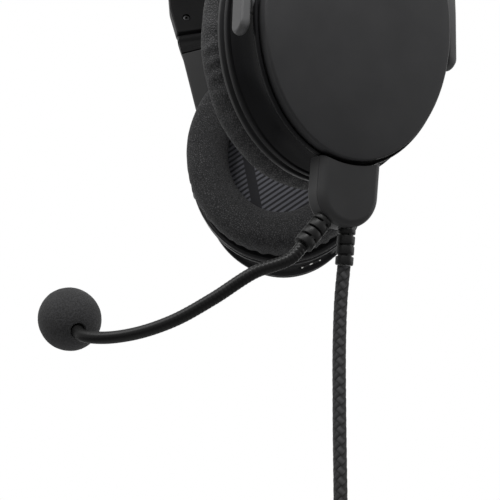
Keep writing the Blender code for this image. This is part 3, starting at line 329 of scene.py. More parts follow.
def plain_mesh(item):
    """The mesh that an object's modifiers make of it."""
    bpy.context.view_layer.update()
    return bpy.data.meshes.new_from_object(item.evaluated_get(bpy.context.evaluated_depsgraph_get()))


def aim_camera():
    """A long lens below the cups, at the photographed angle, with no shift."""
    back = Vector((
        math.sin(CAMERA_AZIMUTH) * math.cos(CAMERA_ELEVATION),
        -math.cos(CAMERA_AZIMUTH) * math.cos(CAMERA_ELEVATION),
        math.sin(CAMERA_ELEVATION),
    ))
    data = bpy.data.cameras.new("camera")
    data.sensor_width = 36.0
    data.lens = CAMERA_LENS
    data.clip_start = 0.01
    camera = linked("camera", data)
    camera.rotation_mode = "QUATERNION"
    level = (-back).to_track_quat("-Z", "Y")
    camera.rotation_quaternion = level @ Quaternion((0.0, 0.0, 1.0), CAMERA_ROLL)
    camera.location = CAMERA_AT
    bpy.context.scene.camera = camera


def soft_lamp(name, at, target, size, power):
    """A square area light that looks at a point."""
    data = bpy.data.lights.new(name, "AREA")
    data.size = size
    data.energy = power
    lamp = linked(name, data)
    lamp.location = at
    lamp.rotation_mode = "QUATERNION"
    lamp.rotation_quaternion = (Vector(target) - Vector(at)).to_track_quat("-Z", "Y")


def join(tree, kind, sockets=None, **settings):
    """A new node, with its settings made and its sockets given values or links."""
    node = tree.nodes.new(kind)
    for key, value in settings.items():
        setattr(node, key, value)
    for key, value in (sockets or {}).items():
        if isinstance(value, bpy.types.NodeSocket):
            tree.links.new(value, node.inputs[key])
        else:
            node.inputs[key].default_value = value
    return node


def light_studio():
    """White backdrop for the camera and for gloss, and softer light for the rest."""
    world = bpy.data.worlds.new("studio")
    world.use_nodes = True
    bpy.context.scene.world = world
    tree = world.node_tree
    tree.nodes.clear()
    path = join(tree, "ShaderNodeLightPath")
    mirror = join(
        tree, "ShaderNodeMath", {0: path.outputs["Is Glossy Ray"], 1: path.outputs["Is Transmission Ray"]},
        operation="MAXIMUM",
    )
    seen = join(
        tree, "ShaderNodeMath", {0: path.outputs["Is Camera Ray"], 1: mirror.outputs[0]}, operation="MAXIMUM"
    )
    backdrop = join(tree, "ShaderNodeBackground", {"Color": (1, 1, 1, 1), "Strength": 1.0})
    fill = join(tree, "ShaderNodeBackground", {"Color": (1, 1, 1, 1), "Strength": FILL_LIGHT})
    mixed = join(tree, "ShaderNodeMixShader", {0: seen.outputs[0], 1: fill.outputs[0], 2: backdrop.outputs[0]})
    join(tree, "ShaderNodeOutputWorld", {"Surface": mixed.outputs[0]})
    for lamp in LAMPS:
        soft_lamp(*lamp)


def lay_floor():
    """Plain pale floor below the hanging plug."""
    half, drop = 2.0, 0.05
    level = CAD_BOX[0].z - drop
    mesh = bpy.data.meshes.new("floor")
    corners = [(-half, -half, level), (half, -half, level), (half, half, level), (-half, half, level)]
    mesh.from_pydata(corners, [], [(0, 1, 2, 3)])
    material = bpy.data.materials.new("pale_floor")
    material.use_nodes = True
    tree = material.node_tree
    shader = tree.nodes["Principled BSDF"]
    shader.inputs["Roughness"].default_value = 0.8
    where = object_place(tree)
    mottle = join(tree, "ShaderNodeTexNoise", {"Vector": where, "Scale": 6.0, "Detail": 2.0})
    coloured(tree, shader, mottle.outputs["Fac"], (0.3, (0.84, 0.84, 0.84)), (0.7, (0.87, 0.87, 0.87)))
    mesh.materials.append(material)
    linked("floor", mesh)


# Finishes


def ramp(tree, factor, stops, interpolation="LINEAR"):
    """A colour ramp's output, from (place, colour) stops."""
    node = join(tree, "ShaderNodeValToRGB", {"Fac": factor})
    node.color_ramp.interpolation = interpolation
    elements = node.color_ramp.elements
    while len(elements) < len(stops):
        elements.new(1.0)
    for element, (place, colour) in zip(elements, stops):
        element.position = place
        element.color = (*colour, 1.0)
    return node.outputs["Color"]


def value_ramp(tree, factor, low, high):
    """A number that runs from low to high as a pattern does."""
    node = join(tree, "ShaderNodeMapRange", {"Value": factor, "To Min": low, "To Max": high})
    return node.outputs["Result"]


def math_node(tree, operation, first, second=0.0):
    return join(tree, "ShaderNodeMath", {0: first, 1: second}, operation=operation).outputs[0]


def object_place(tree):
    return join(tree, "ShaderNodeTexCoord").outputs["Object"]


def between(tree, value, low, high):
    """0 to 1 as a value runs from low to high."""
    node = join(tree, "ShaderNodeMapRange", {"Value": value, "From Min": low, "From Max": high})
    return node.outputs["Result"]


def coloured(tree, shader, factor, *stops):
    """A colour ramp into the shader's base colour."""
    tree.links.new(ramp(tree, factor, stops), shader.inputs["Base Color"])


def gloss(tree, shader, factor, low, high):
    """Roughness that varies with a pattern."""
    tree.links.new(value_ramp(tree, factor, low, high), shader.inputs["Roughness"])


def new_finish(name, **constants):
    """A material with its Principled shader's plain values set, and its tree."""
    material = bpy.data.materials.new(name)
    material.use_nodes = True
    shader = material.node_tree.nodes["Principled BSDF"]
    for key, value in constants.items():
        shader.inputs[key.replace("_", " ")].default_value = value
    return material, material.node_tree, shader


def bumped(tree, shader, height, distance, strength=1.0, under=None):
    """A bump into the shader's normal; under is the coarser bump that it lies on."""
    sockets = {"Height": height, "Distance": distance, "Strength": strength}
    if under is not None:
        sockets["Normal"] = under
    bump = join(tree, "ShaderNodeBump", sockets).outputs["Normal"]
    tree.links.new(bump, shader.inputs["Normal"])
    return bump


def grain(tree, where, scale, detail=3.0):
    noise_node = join(tree, "ShaderNodeTexNoise", {"Vector": where, "Scale": scale, "Detail": detail})
    return noise_node.outputs["Fac"]


def satin_plastic(name, dark, light, rough, spark=3600.0, depth=0.000012, **constants):
    """Moulded plastic: a fine spark-eroded grain, a faint mottle and uneven gloss."""
    material, tree, shader = new_finish(name, **constants)
    where = object_place(tree)
    mottle = grain(tree, where, 70.0, 4.0)
    fine = grain(tree, where, spark, 2.0)
    coloured(tree, shader, mottle, (0.3, dark), (0.7, light))
    gloss(tree, shader, mottle, rough[0], rough[1])
    bumped(tree, shader, fine, depth)
    return material


def pebbled_leather(name, dark, light):
    """Soft protein leather: pebbles with creases between them, over slack wrinkles, with painted shade in the
    creases and painted highlight on the pebble tops.
    """
    material, tree, shader = new_finish(name, Sheen_Weight=0.03, Sheen_Roughness=0.5, Specular_IOR_Level=0.12)
    where = object_place(tree)
    bent = join(tree, "ShaderNodeTexNoise", {"Vector": where, "Scale": 420.0, "Detail": 2.0})
    shift = join(
        tree, "ShaderNodeVectorMath", {0: bent.outputs["Color"], "Scale": 0.0011}, operation="SCALE"
    )
    moved = join(tree, "ShaderNodeVectorMath", {0: where, 1: shift.outputs[0]}, operation="ADD").outputs[0]
    pebble = join(
        tree, "ShaderNodeTexVoronoi", {"Vector": moved, "Scale": 1350.0}, feature="DISTANCE_TO_EDGE"
    ).outputs["Distance"]
    tops = join(tree, "ShaderNodeMapRange", {"Value": pebble, "From Max": 0.30}).outputs["Result"]
    wrinkle = grain(tree, where, 160.0, 5.0)
    speckle = grain(tree, where, 2600.0, 2.0)
    # Painted shade and highlight: darker in the creases, lighter on the pebble tops, with a random speckle in the
    # tone.
    mixed = math_node(tree, "MULTIPLY", tops, value_ramp(tree, speckle, 0.6, 1.25))
    coloured(tree, shader, mixed, (0.05, dark), (0.95, light))
    gloss(tree, shader, tops, 0.78, 0.50)
    slack = bumped(tree, shader, wrinkle, 0.0007, 0.5)
    pebbles = bumped(tree, shader, tops, 0.00016, 1.0, slack)
    bumped(tree, shader, speckle, 0.00002, 0.6, pebbles)
    return material


def napped_suede(name, dark, light):
    """Napped cloth: short fibres that catch the light."""
    material, tree, shader = new_finish(
        name, Roughness=0.95, Sheen_Weight=0.15, Sheen_Roughness=0.35, Specular_IOR_Level=0.15
    )
    where = object_place(tree)
    fibres = grain(tree, where, 3400.0, 4.0)
    patches = grain(tree, where, 240.0, 3.0)
    both = math_node(tree, "MULTIPLY", fibres, value_ramp(tree, patches, 0.75, 1.25))
    coloured(tree, shader, both, (0.35, dark), (0.65, light))
    bumped(tree, shader, fibres, 0.00012)
    return material


def striped_cloth(name):
    """Woven cover over the speaker: slanting stripes in two fields with a plain band between, and painted shade
    between the threads of the stripes.
    """
    material, tree, shader = new_finish(name, Roughness=0.92, Sheen_Weight=0.02, Specular_IOR_Level=0.15)
    local = join(tree, "ShaderNodeAttribute", attribute_name="local").outputs["Vector"]
    slant, pitch = math.radians(38.0), 0.0020

    def along(angle, scale):
        turned = join(
            tree, "ShaderNodeVectorMath", {0: local, 1: (0, math.cos(angle) * scale, math.sin(angle) * scale)},
            operation="DOT_PRODUCT",
        )
        return turned.outputs["Value"]

    phase = math_node(tree, "FRACT", math_node(tree, "ADD", along(slant + math.pi / 2, 1 / pitch), 40.0))
    stripe = between(tree, math_node(tree, "PINGPONG", phase, 0.5), 0.19, 0.27)
    band = math_node(tree, "ABSOLUTE", math_node(tree, "ADD", along(math.radians(11.0), 1.0), 0.0136))
    fields = between(tree, band, 0.0017, 0.0020)
    shown = math_node(tree, "MULTIPLY", stripe, fields)
    weave = join(
        tree, "ShaderNodeTexVoronoi", {"Vector": local, "Scale": 1700.0, "Randomness": 0.25}
    ).outputs["Distance"]
    # Painted shade between the threads: the stripe colour darkens away from each weave cell's centre.
    threads = math_node(tree, "MULTIPLY", shown, value_ramp(tree, weave, 1.05, 0.7))
    coloured(tree, shader, threads, (0.0, (0.018, 0.018, 0.020)), (1.0, (0.095, 0.096, 0.108)))
    raised = bumped(tree, shader, shown, 0.00012)
    bumped(tree, shader, weave, 0.00012, 0.7, raised)
    return material


def braided_cover(name):
    """Braid on the cord, from its own map: strands cross over and under in chevrons, with painted shade in the
    grooves and a painted sheen on one strand family.
    """
    material, tree, shader = new_finish(name, Roughness=0.7, Sheen_Weight=0.03, Specular_IOR_Level=0.12)
    places = join(tree, "ShaderNodeTexCoord")
    split = join(tree, "ShaderNodeSeparateXYZ", {0: places.outputs["UV"]})
    around = math_node(tree, "MULTIPLY_ADD", split.outputs["X"], BRAID_STRANDS)
    around.node.inputs[2].default_value = 4000.0
    along = math_node(tree, "MULTIPLY", split.outputs["Y"], BRAID_STRANDS / BRAID_PITCH)
    first, second = math_node(tree, "ADD", around, along), math_node(tree, "SUBTRACT", around, along)
    cells = math_node(tree, "ADD", math_node(tree, "FLOOR", first), math_node(tree, "FLOOR", second))
    under = math_node(tree, "MODULO", cells, 2.0)
    crossing = join(tree, "ShaderNodeMix", {0: under, 2: first, 3: second}).outputs[0]
    crown = math_node(tree, "POWER", math_node(tree, "PINGPONG", math_node(tree, "FRACT", crossing), 0.5), 0.6)
    where = places.outputs["Object"]
    thread = grain(tree, where, 5200.0, 2.0)
    # Painted shade and sheen: strand crowns lighter, grooves darker, and one family of strands brighter than the
    # other.
    lit = math_node(tree, "MULTIPLY", crown, value_ramp(tree, under, 1.5, 0.8))
    mixed = math_node(tree, "MULTIPLY", lit, value_ramp(tree, thread, 0.75, 1.25))
    coloured(tree, shader, mixed, (0.15, (0.010, 0.010, 0.010)), (0.95, (0.055, 0.055, 0.057)))
    strands = bumped(tree, shader, crown, 0.0002)
    bumped(tree, shader, thread, 0.00004, 1.0, strands)
    return material


def open_foam(name, dark, light):
    """Open-cell foam: small pits painted darker as shade among brighter threads."""
    material, tree, shader = new_finish(name, Roughness=1.0, Sheen_Weight=0.06, Specular_IOR_Level=0.1)
    where = object_place(tree)
    cells = join(tree, "ShaderNodeTexVoronoi", {"Vector": where, "Scale": 2300.0}).outputs["Distance"]
    dust = grain(tree, where, 4200.0, 3.0)
    # Painted shade: the colour is darker in the pits, with a random dusting in the tone.
    mixed = math_node(tree, "MULTIPLY", cells, value_ramp(tree, dust, 0.6, 1.4))
    coloured(tree, shader, mixed, (0.15, dark), (0.7, light))
    pits = bumped(tree, shader, cells, 0.0001, 0.7)
    bumped(tree, shader, dust, 0.00005, 0.6, pits)
    return material


def drawn_metal(name, colour, rough, stretch=(1.0, 1.0, 0.06), **constants):
    """Metal with fine drawn lines."""
    material, tree, shader = new_finish(name, Metallic=1.0, **constants)
    where = object_place(tree)
    drawn = join(tree, "ShaderNodeMapping", {"Vector": where, "Scale": stretch}).outputs["Vector"]
    lines = grain(tree, drawn, 3000.0, 3.0)
    darker = tuple(0.8 * c for c in colour)
    coloured(tree, shader, lines, (0.3, darker), (0.7, colour))
    gloss(tree, shader, lines, rough[0], rough[1])
    bumped(tree, shader, lines, 0.000008)
    return material


def circuit_mask(name):
    """Solder mask with tracks."""
    material, tree, shader = new_finish(name, Roughness=0.45)
    where = object_place(tree)
    tracks = join(
        tree, "ShaderNodeTexVoronoi", {"Vector": where, "Scale": 260.0}, distance="MANHATTAN"
    ).outputs["Distance"]
    coloured(tree, shader, tracks, (0.45, (0.012, 0.06, 0.03)), (0.5, (0.03, 0.14, 0.07)))
    bumped(tree, shader, tracks, 0.00004)
    return material


def yoke_with_painted_shade(name, inner, outer):
    """Grey fork with painted shade: its inner face is coloured near-black as shade, and its rim and outer face keep
    the grey.
    """
    material, tree, shader = new_finish(name, Specular_IOR_Level=0.12)
    where = object_place(tree)
    depth = join(tree, "ShaderNodeAttribute", attribute_name="outward").outputs["Fac"]
    mottle = grain(tree, where, 70.0, 4.0)
    # Painted shade: the colour turns from grey to near-black towards the fork's inner face, along a slightly ragged
    # line.
    jittered_depth = math_node(tree, "ADD", depth, value_ramp(tree, grain(tree, where, 900.0), -0.04, 0.04))
    unshaded_side_mask = between(tree, jittered_depth, -0.95, -0.86)
    shade = math_node(tree, "MULTIPLY", unshaded_side_mask, value_ramp(tree, mottle, 0.85, 1.1))
    coloured(tree, shader, shade, (0.0, inner), (1.0, outer))
    gloss(tree, shader, mottle, 0.36, 0.46)
    bumped(tree, shader, grain(tree, where, 3000.0, 2.0), 0.00001)
    return material


def lit_lens(name):
    """Dark lens over three small lights, from the lens's own axes."""
    material, tree, shader = new_finish(name, Roughness=0.3, Specular_IOR_Level=0.1)
    seat = PLACES["right"]["cup"] @ waist_place(LIGHT_ANGLE, WAIST_INSET, 0.0)
    where = object_place(tree)
    local = join(tree, "ShaderNodeMapping", {
        "Vector": where, "Location": seat.to_translation(), "Rotation": seat.to_euler(),
    }, vector_type="TEXTURE").outputs["Vector"]
    split = join(tree, "ShaderNodeSeparateXYZ", {0: local})
    pitch = 0.0026
    nearest = math_node(tree, "WRAP", split.outputs["Y"], pitch / 2)
    nearest.node.inputs[2].default_value = -pitch / 2
    spot = join(tree, "ShaderNodeCombineXYZ", {"X": split.outputs["X"], "Y": nearest})
    away = join(tree, "ShaderNodeVectorMath", {0: spot.outputs[0]}, operation="LENGTH").outputs["Value"]
    grainy = math_node(tree, "ADD", away, value_ramp(tree, grain(tree, where, 4000.0), -0.00006, 0.00006))
    lamp = between(tree, grainy, 0.00055, 0.00040)
    coloured(tree, shader, lamp, (0.0, (0.006, 0.006, 0.006)), (1.0, (0.62, 0.62, 0.60)))
    bumped(tree, shader, lamp, 0.0001)
    return material


FINISH = {
    "cap": satin_plastic(
        "cap_satin", (0.020, 0.020, 0.0208), (0.024, 0.024, 0.0248), (0.42, 0.50), 4200.0, Specular_IOR_Level=0.08
    ),
    "shell": satin_plastic(
        "shell_satin", (0.005, 0.005, 0.0055), (0.007, 0.007, 0.0075), (0.24, 0.32), 3600.0, 0.000006,
        Specular_IOR_Level=0.05,
    ),
    "flange": satin_plastic(
        "flange_satin", (0.008, 0.008, 0.0085), (0.011, 0.011, 0.0115), (0.26, 0.34), Specular_IOR_Level=0.10
    ),
    # The dark colour is painted shade in the pebble creases; the light one is painted highlight on the pebble tops.
    "leather": pebbled_leather("cushion_leather", (0.008, 0.008, 0.0085), (0.036, 0.036, 0.037)),
    "suede": napped_suede("pad_suede", (0.010, 0.010, 0.010), (0.036, 0.036, 0.037)),
    "scrim": striped_cloth("scrim_cloth_stripes"),
    # The first colour is painted shade on the fork's inner face; the second is the fork's grey.
    "yoke": yoke_with_painted_shade("yoke_painted", (0.006, 0.006, 0.0062), (0.058, 0.058, 0.059)),
    "disc": satin_plastic(
        "pivot_disc", (0.046, 0.046, 0.048), (0.056, 0.056, 0.058), (0.32, 0.40), 3000.0, Specular_IOR_Level=0.3
    ),
    "band": satin_plastic(
        "band_satin", (0.006, 0.006, 0.0062), (0.009, 0.009, 0.0092), (0.40, 0.50), 3200.0, Specular_IOR_Level=0.05
    ),
    "module": satin_plastic(
        "module_satin", (0.026, 0.026, 0.0266), (0.031, 0.031, 0.0316), (0.34, 0.42), 3600.0, Specular_IOR_Level=0.06
    ),
    "rubber": satin_plastic(
        "relief_rubber", (0.007, 0.007, 0.007), (0.010, 0.010, 0.010), (0.36, 0.48), 2600.0, 0.00001,
        Specular_IOR_Level=0.10,
    ),
    "neck": satin_plastic(
        "neck_rubber", (0.004, 0.004, 0.004), (0.006, 0.006, 0.006), (0.30, 0.40), 2600.0, 0.000006,
        Specular_IOR_Level=0.10,
    ),
    # The dark colour is painted shade in the foam's pits.
    "foam": open_foam("ball_foam", (0.016, 0.016, 0.016), (0.032, 0.032, 0.033)),
    "braid": braided_cover("cord_braid"),
    "screw": drawn_metal("blackened_screw", (0.03, 0.03, 0.031), (0.36, 0.48)),
    "steel": drawn_metal("drawn_steel", (0.42, 0.42, 0.43), (0.26, 0.38)),
    "plated": drawn_metal("plated_contacts", (0.62, 0.60, 0.55), (0.16, 0.26)),
    "board": circuit_mask("board_mask"),
    "driver": satin_plastic("driver_black", (0.010, 0.010, 0.010), (0.016, 0.016, 0.016), (0.5, 0.6)),
    "cell": satin_plastic("cell_foil", (0.14, 0.14, 0.145), (0.20, 0.20, 0.205), (0.3, 0.4)),
    "light": lit_lens("status_lens"),
}


# Shapes


def arc(centre, radius, start, end, steps):
    """Points of an arc in degrees, ends included."""
    points = []
    for step in range(steps + 1):
        angle = math.radians(start + (end - start) * step / steps)
        points.append((centre[0] + radius * math.cos(angle), centre[1] + radius * math.sin(angle)))
    return points


def bezier(p0, p1, p2, p3, steps):
    """Points of a cubic curve, ends included."""
    points = []
    for step in range(steps + 1):
        t = step / steps
        weights = ((1 - t) ** 3, 3 * t * (1 - t) ** 2, 3 * t * t * (1 - t), t ** 3)
        points.append(tuple(sum(w * c for w, c in zip(weights, column)) for column in zip(p0, p1, p2, p3)))
    return points


def smooth_route(route, spacing):
    """Points about one spacing apart on a smooth curve through a route's own points."""
    route = [Vector(point) for point in route]
    ends = [2 * route[0] - route[1], *route, 2 * route[-1] - route[-2]]
    slopes = []
    for before, here, after in zip(ends, ends[1:], ends[2:]):
        back, ahead = here - before, after - here
        back_length, ahead_length = max(back.length, 1e-9), max(ahead.length, 1e-9)
        lean = back * (ahead_length / back_length) + ahead * (back_length / ahead_length)
        slopes.append(lean / (back_length + ahead_length))
    points = [route[0]]
    for start, end, leave, arrive in zip(route, route[1:], slopes, slopes[1:]):
        reach = (end - start).length
        count = max(2, round(reach / spacing))
        for step in range(1, count + 1):
            t = step / count
            points.append(
                start * (2 * t ** 3 - 3 * t * t + 1) + end * (3 * t * t - 2 * t ** 3)
                + leave * (reach * (t ** 3 - 2 * t * t + t)) + arrive * (reach * (t ** 3 - t * t))
            )
    return points


def quarter_round(radius, steps):
    """(rise, inset) pairs of a rounded edge, from its side to its top."""
    angles = [math.pi / 2 * step / steps for step in range(steps + 1)]
    return [(radius * math.sin(angle), radius * (1 - math.cos(angle))) for angle in angles]


def rounded(outline, radius, steps=4):
    """A closed outline with its corners rounded."""
    points = []
    count = len(outline)
    for index in range(count):
        corner = Vector(outline[index])
        before = Vector(outline[index - 1]) - corner
        after = Vector(outline[(index + 1) % count]) - corner
        start = corner + before.normalized() * min(radius, 0.45 * before.length)
        end = corner + after.normalized() * min(radius, 0.45 * after.length)
        for step in range(steps + 1):
            t = step / steps
            points.append(tuple((1 - t) ** 2 * start + 2 * t * (1 - t) * corner + t * t * end))
    return points


def oval_loop(x, half_width, half_height, steps):
    """Points of an upright oval at one depth."""
    angles = [2 * math.pi * step / steps for step in range(steps)]
    return [(x, half_width * math.cos(angle), half_height * math.sin(angle)) for angle in angles]


def oval_loops(profile, side, upright=1.0):
    """Oval loops of a cup from (x, inset) pairs."""
    return [oval_loop(side * x, *oval(inset, upright), OVAL_STEPS) for x, inset in profile]


def lofted(loops, wrap=False, caps=True):
    """A bmesh through closed loops of equal count; wrap joins the last loop to the first."""
    body = bmesh.new()
    rows = [[body.verts.new(point) for point in loop] for loop in loops]
    pairs = list(zip(rows, rows[1:]))
    if wrap:
        pairs.append((rows[-1], rows[0]))
    elif caps:
        body.faces.new(rows[0])
        body.faces.new(rows[-1])
    for first, second in pairs:
        for step in range(len(first)):
            after = (step + 1) % len(first)
            body.faces.new((first[step], first[after], second[after], second[step]))
    return body


def lathed(profile, steps=64, ring=False):
    """A bmesh of a profile (radius, z) turned about Z, with its poles merged; ring closes the profile."""
    loops = []
    for radius, z in profile:
        loop = []
        for step in range(steps):
            angle = 2 * math.pi * step / steps
            loop.append((radius * math.cos(angle), radius * math.sin(angle), z))
        loops.append(loop)
    body = lofted(loops, ring, caps=False)
    bmesh.ops.remove_doubles(body, verts=body.verts, dist=1e-7)
    return body


def slab(outline, low, high, low_edge, high_edge, segments=4):
    """A flat outline given thickness along Z, with each rim rounded."""
    body = bmesh.new()
    base = body.faces.new([body.verts.new((u, v, low)) for u, v in outline])
    made = bmesh.ops.extrude_face_region(body, geom=[base])
    top = [item for item in made["geom"] if isinstance(item, bmesh.types.BMVert)]
    bmesh.ops.translate(body, verts=top, vec=(0, 0, high - low))
    bmesh.ops.recalc_face_normals(body, faces=body.faces)
    for level, radius in ((low, low_edge), (high, high_edge)):
        if radius <= 0:
            continue
        rim = [edge for edge in body.edges if all(abs(vert.co.z - level) < 1e-7 for vert in edge.verts)]
        bmesh.ops.bevel(
            body, geom=rim, offset=radius, offset_type="OFFSET", segments=segments, profile=0.5, affect="EDGES"
        )
    return body


def to_mesh(name, body, place=None, sharp=SHARP_ANGLE):
    """A smooth mesh from a bmesh, put in place, that keeps its own axes as an attribute."""
    bmesh.ops.remove_doubles(body, verts=body.verts, dist=1e-7)
    bmesh.ops.recalc_face_normals(body, faces=body.faces)
    layer = body.verts.layers.float_vector.new("local")
    for vert in body.verts:
        vert[layer] = vert.co
    if place is not None:
        bmesh.ops.transform(body, matrix=place, verts=body.verts)
    mesh = bpy.data.meshes.new(name)
    body.to_mesh(mesh)
    body.free()
    mesh.shade_smooth()
    mesh.set_sharp_from_angle(angle=math.radians(sharp))
    return mesh


def shade_evenly(item):
    """Shading that follows the large faces and keeps the sharp edges."""
    item.modifiers.new("even_shading", "WEIGHTED_NORMAL").keep_sharp = True


def show(mesh, body, nodes, finish, even=False):
    """A piece that rides on a body and stands for CAD nodes."""
    item = linked(mesh.name, mesh)
    mesh.materials.clear()
    mesh.materials.append(FINISH[finish])
    if even:
        shade_evenly(item)
    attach(item, body)
    if nodes:
        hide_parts(*nodes)
    return item


def cut(item, cutters):
    """Cut meshes out of a piece and keep the result as its plain mesh."""
    tools = []
    for number, mesh in enumerate(cutters):
        tool = linked(f"cutter_{number}", mesh)
        tools.append(tool)
        modifier = item.modifiers.new("cut", "BOOLEAN")
        modifier.operation = "DIFFERENCE"
        modifier.solver = "EXACT"
        modifier.object = tool
    mesh = plain_mesh(item)
    item.modifiers.clear()
    finish = item.data.materials[0]
    item.data = mesh
    mesh.materials.clear()
    mesh.materials.append(finish)
    mesh.set_sharp_from_angle(angle=math.radians(SHARP_ANGLE))
    for tool in tools:
        bpy.data.objects.remove(tool, do_unlink=True)


def round_cutter(radius, length, place):
    """A rod along its local Z, centred, to cut a hole."""
    half = length / 2
    return to_mesh("hole", lathed([(0.0, -half), (radius, -half), (radius, half), (0.0, half)], 32), place)


def slot_cutter(wide, long, deep, corner, place):
    """A rounded slot, wide along X and long along Y, centred."""
    u, v = wide / 2, long / 2
    outline = rounded([(-u, -v), (u, -v), (u, v), (-u, v)], corner, 6)
    return to_mesh("slot", slab(outline, -deep / 2, deep / 2, 0.0, 0.0), place)


# Geometry Nodes: what repeats or follows a path


def new_tree(name, inputs):
    """An empty geometry tree with named inputs, and its input and output nodes."""
    tree = bpy.data.node_groups.new(name, "GeometryNodeTree")
    tree.interface.new_socket(name="Geometry", in_out="INPUT", socket_type="NodeSocketGeometry")
    for label, kind in inputs:
        tree.interface.new_socket(name=label, in_out="INPUT", socket_type=kind)
    tree.interface.new_socket(name="Geometry", in_out="OUTPUT", socket_type="NodeSocketGeometry")
    return tree, tree.nodes.new("NodeGroupInput"), tree.nodes.new("NodeGroupOutput")


def end_tree(tree, geometry, given, output):
    """Realize what a tree made, give it the finish and send it out."""
    real = join(tree, "GeometryNodeRealizeInstances", {"Geometry": geometry})
    coated = join(
        tree, "GeometryNodeSetMaterial", {"Geometry": real.outputs[0], "Material": given.outputs["Finish"]}
    )
    tree.links.new(coated.outputs[0], output.inputs[0])


def row_tree():
    """Copies of one shape in a straight row, each turned on from the last."""
    tree, given, output = new_tree("shape_row", (
        ("Count", "NodeSocketInt"), ("Step", "NodeSocketVector"), ("Turn", "NodeSocketFloat"),
        ("Finish", "NodeSocketMaterial"),
    ))
    line = join(tree, "GeometryNodeMeshLine", {"Count": given.outputs["Count"], "Offset": given.outputs["Step"]})
    index = join(tree, "GeometryNodeInputIndex").outputs[0]
    angle = math_node(tree, "MULTIPLY", index, given.outputs["Turn"])
    spin = join(tree, "ShaderNodeCombineXYZ", {"Z": angle})
    rotation = join(tree, "FunctionNodeEulerToRotation", {0: spin.outputs[0]})
    copies = join(tree, "GeometryNodeInstanceOnPoints", {
        "Points": line.outputs["Mesh"], "Instance": given.outputs["Geometry"],
        "Rotation": rotation.outputs[0],
    })
    end_tree(tree, copies.outputs[0], given, output)
    return tree


def neck_tree():
    """A tube along a curve, with ribs at a pitch that fade out before its far end."""
    tree, given, output = new_tree("ribbed_neck", (
        ("Radius", "NodeSocketFloat"), ("Rib Depth", "NodeSocketFloat"), ("Rib Pitch", "NodeSocketFloat"),
        ("Ribbed Share", "NodeSocketFloat"), ("Finish", "NodeSocketMaterial"),
    ))
    fine = math_node(tree, "DIVIDE", given.outputs["Rib Pitch"], 8.0)
    line = join(
        tree, "GeometryNodeResampleCurve", {"Curve": given.outputs["Geometry"], "Length": fine}, mode="LENGTH"
    )
    along = join(tree, "GeometryNodeSplineParameter")
    ribs = math_node(tree, "DIVIDE", along.outputs["Length"], given.outputs["Rib Pitch"])
    wave = math_node(tree, "PINGPONG", ribs, 0.5)
    crown = math_node(tree, "POWER", math_node(tree, "SINE", math_node(tree, "MULTIPLY", wave, math.pi)), 0.4)
    fade_from = math_node(tree, "SUBTRACT", given.outputs["Ribbed Share"], 0.25)
    fade = join(tree, "ShaderNodeMapRange", {
        "Value": along.outputs["Factor"], "From Min": fade_from, "From Max": given.outputs["Ribbed Share"],
        3: 1.0, 4: 0.12,
    })
    depth = math_node(tree, "DIVIDE", given.outputs["Rib Depth"], given.outputs["Radius"])
    lift = math_node(tree, "MULTIPLY", math_node(tree, "MULTIPLY", crown, fade.outputs["Result"]), depth)
    ring = join(
        tree, "GeometryNodeCurvePrimitiveCircle", {"Resolution": 24, "Radius": given.outputs["Radius"]}
    )
    skin = join(tree, "GeometryNodeCurveToMesh", {
        "Curve": line.outputs[0], "Profile Curve": ring.outputs["Curve"],
        "Scale": math_node(tree, "ADD", lift, 1.0), "Fill Caps": True,
    })
    soft = join(tree, "GeometryNodeSetShadeSmooth", {"Geometry": skin.outputs[0]})
    end_tree(tree, soft.outputs[0], given, output)
    return tree


def stitch_tree():
    """Short stitches laid along a curve at even spacing."""
    tree, given, output = new_tree("stitch_line", (
        ("Spacing", "NodeSocketFloat"), ("Stitch Length", "NodeSocketFloat"), ("Thread", "NodeSocketFloat"),
        ("Finish", "NodeSocketMaterial"),
    ))
    spots = join(
        tree, "GeometryNodeCurveToPoints",
        {"Curve": given.outputs["Geometry"], "Length": given.outputs["Spacing"]},
        mode="LENGTH",
    )
    bead = join(tree, "GeometryNodeMeshUVSphere", {"Segments": 8, "Rings": 6, "Radius": 1.0})
    half = math_node(tree, "DIVIDE", given.outputs["Stitch Length"], 2.0)
    size = join(
        tree, "ShaderNodeCombineXYZ", {"X": given.outputs["Thread"], "Y": given.outputs["Thread"], "Z": half}
    )
    copies = join(tree, "GeometryNodeInstanceOnPoints", {
        "Points": spots.outputs["Points"], "Instance": bead.outputs["Mesh"],
        "Rotation": spots.outputs["Rotation"], "Scale": size.outputs[0],
    })
    soft = join(tree, "GeometryNodeSetShadeSmooth", {"Geometry": copies.outputs[0]})
    end_tree(tree, soft.outputs[0], given, output)
    return tree


TREES = {"row": row_tree(), "neck": neck_tree(), "stitches": stitch_tree()}


def grown(name, tree, base, **values):
    """The plain mesh that a tree makes from a base, with its inputs set by identifier."""
    holder = linked(f"{name}_base", base)
    modifier = holder.modifiers.new("grow", "NODES")
    modifier.node_group = TREES[tree]
    for item in TREES[tree].interface.items_tree:
        if item.in_out == "INPUT" and item.name.replace(" ", "_") in values:
            modifier[item.identifier] = values[item.name.replace(" ", "_")]
    mesh = plain_mesh(holder)
    bpy.data.objects.remove(holder, do_unlink=True)
    mesh.name = name
    return mesh


def open_curve(name, points):
    """A curve datablock through points, for a tree to follow."""
    curve = bpy.data.curves.new(name, "CURVE")
    curve.dimensions = "3D"
    spline = curve.splines.new("POLY")
    spline.points.add(len(points) - 1)
    for point, place in zip(spline.points, points):
        point.co = (*place, 1.0)
    return curve


def joined(name, meshes, place=None):
    """One mesh from several, put in place."""
    body = bmesh.new()
    for mesh in meshes:
        body.from_mesh(mesh)
    if place is not None:
        bmesh.ops.transform(body, matrix=place, verts=body.verts)
    mesh = bpy.data.meshes.new(name)
    body.to_mesh(mesh)
    body.free()
    mesh.shade_smooth()
    mesh.set_sharp_from_angle(angle=math.radians(SHARP_ANGLE))
    return mesh


# Padded pieces


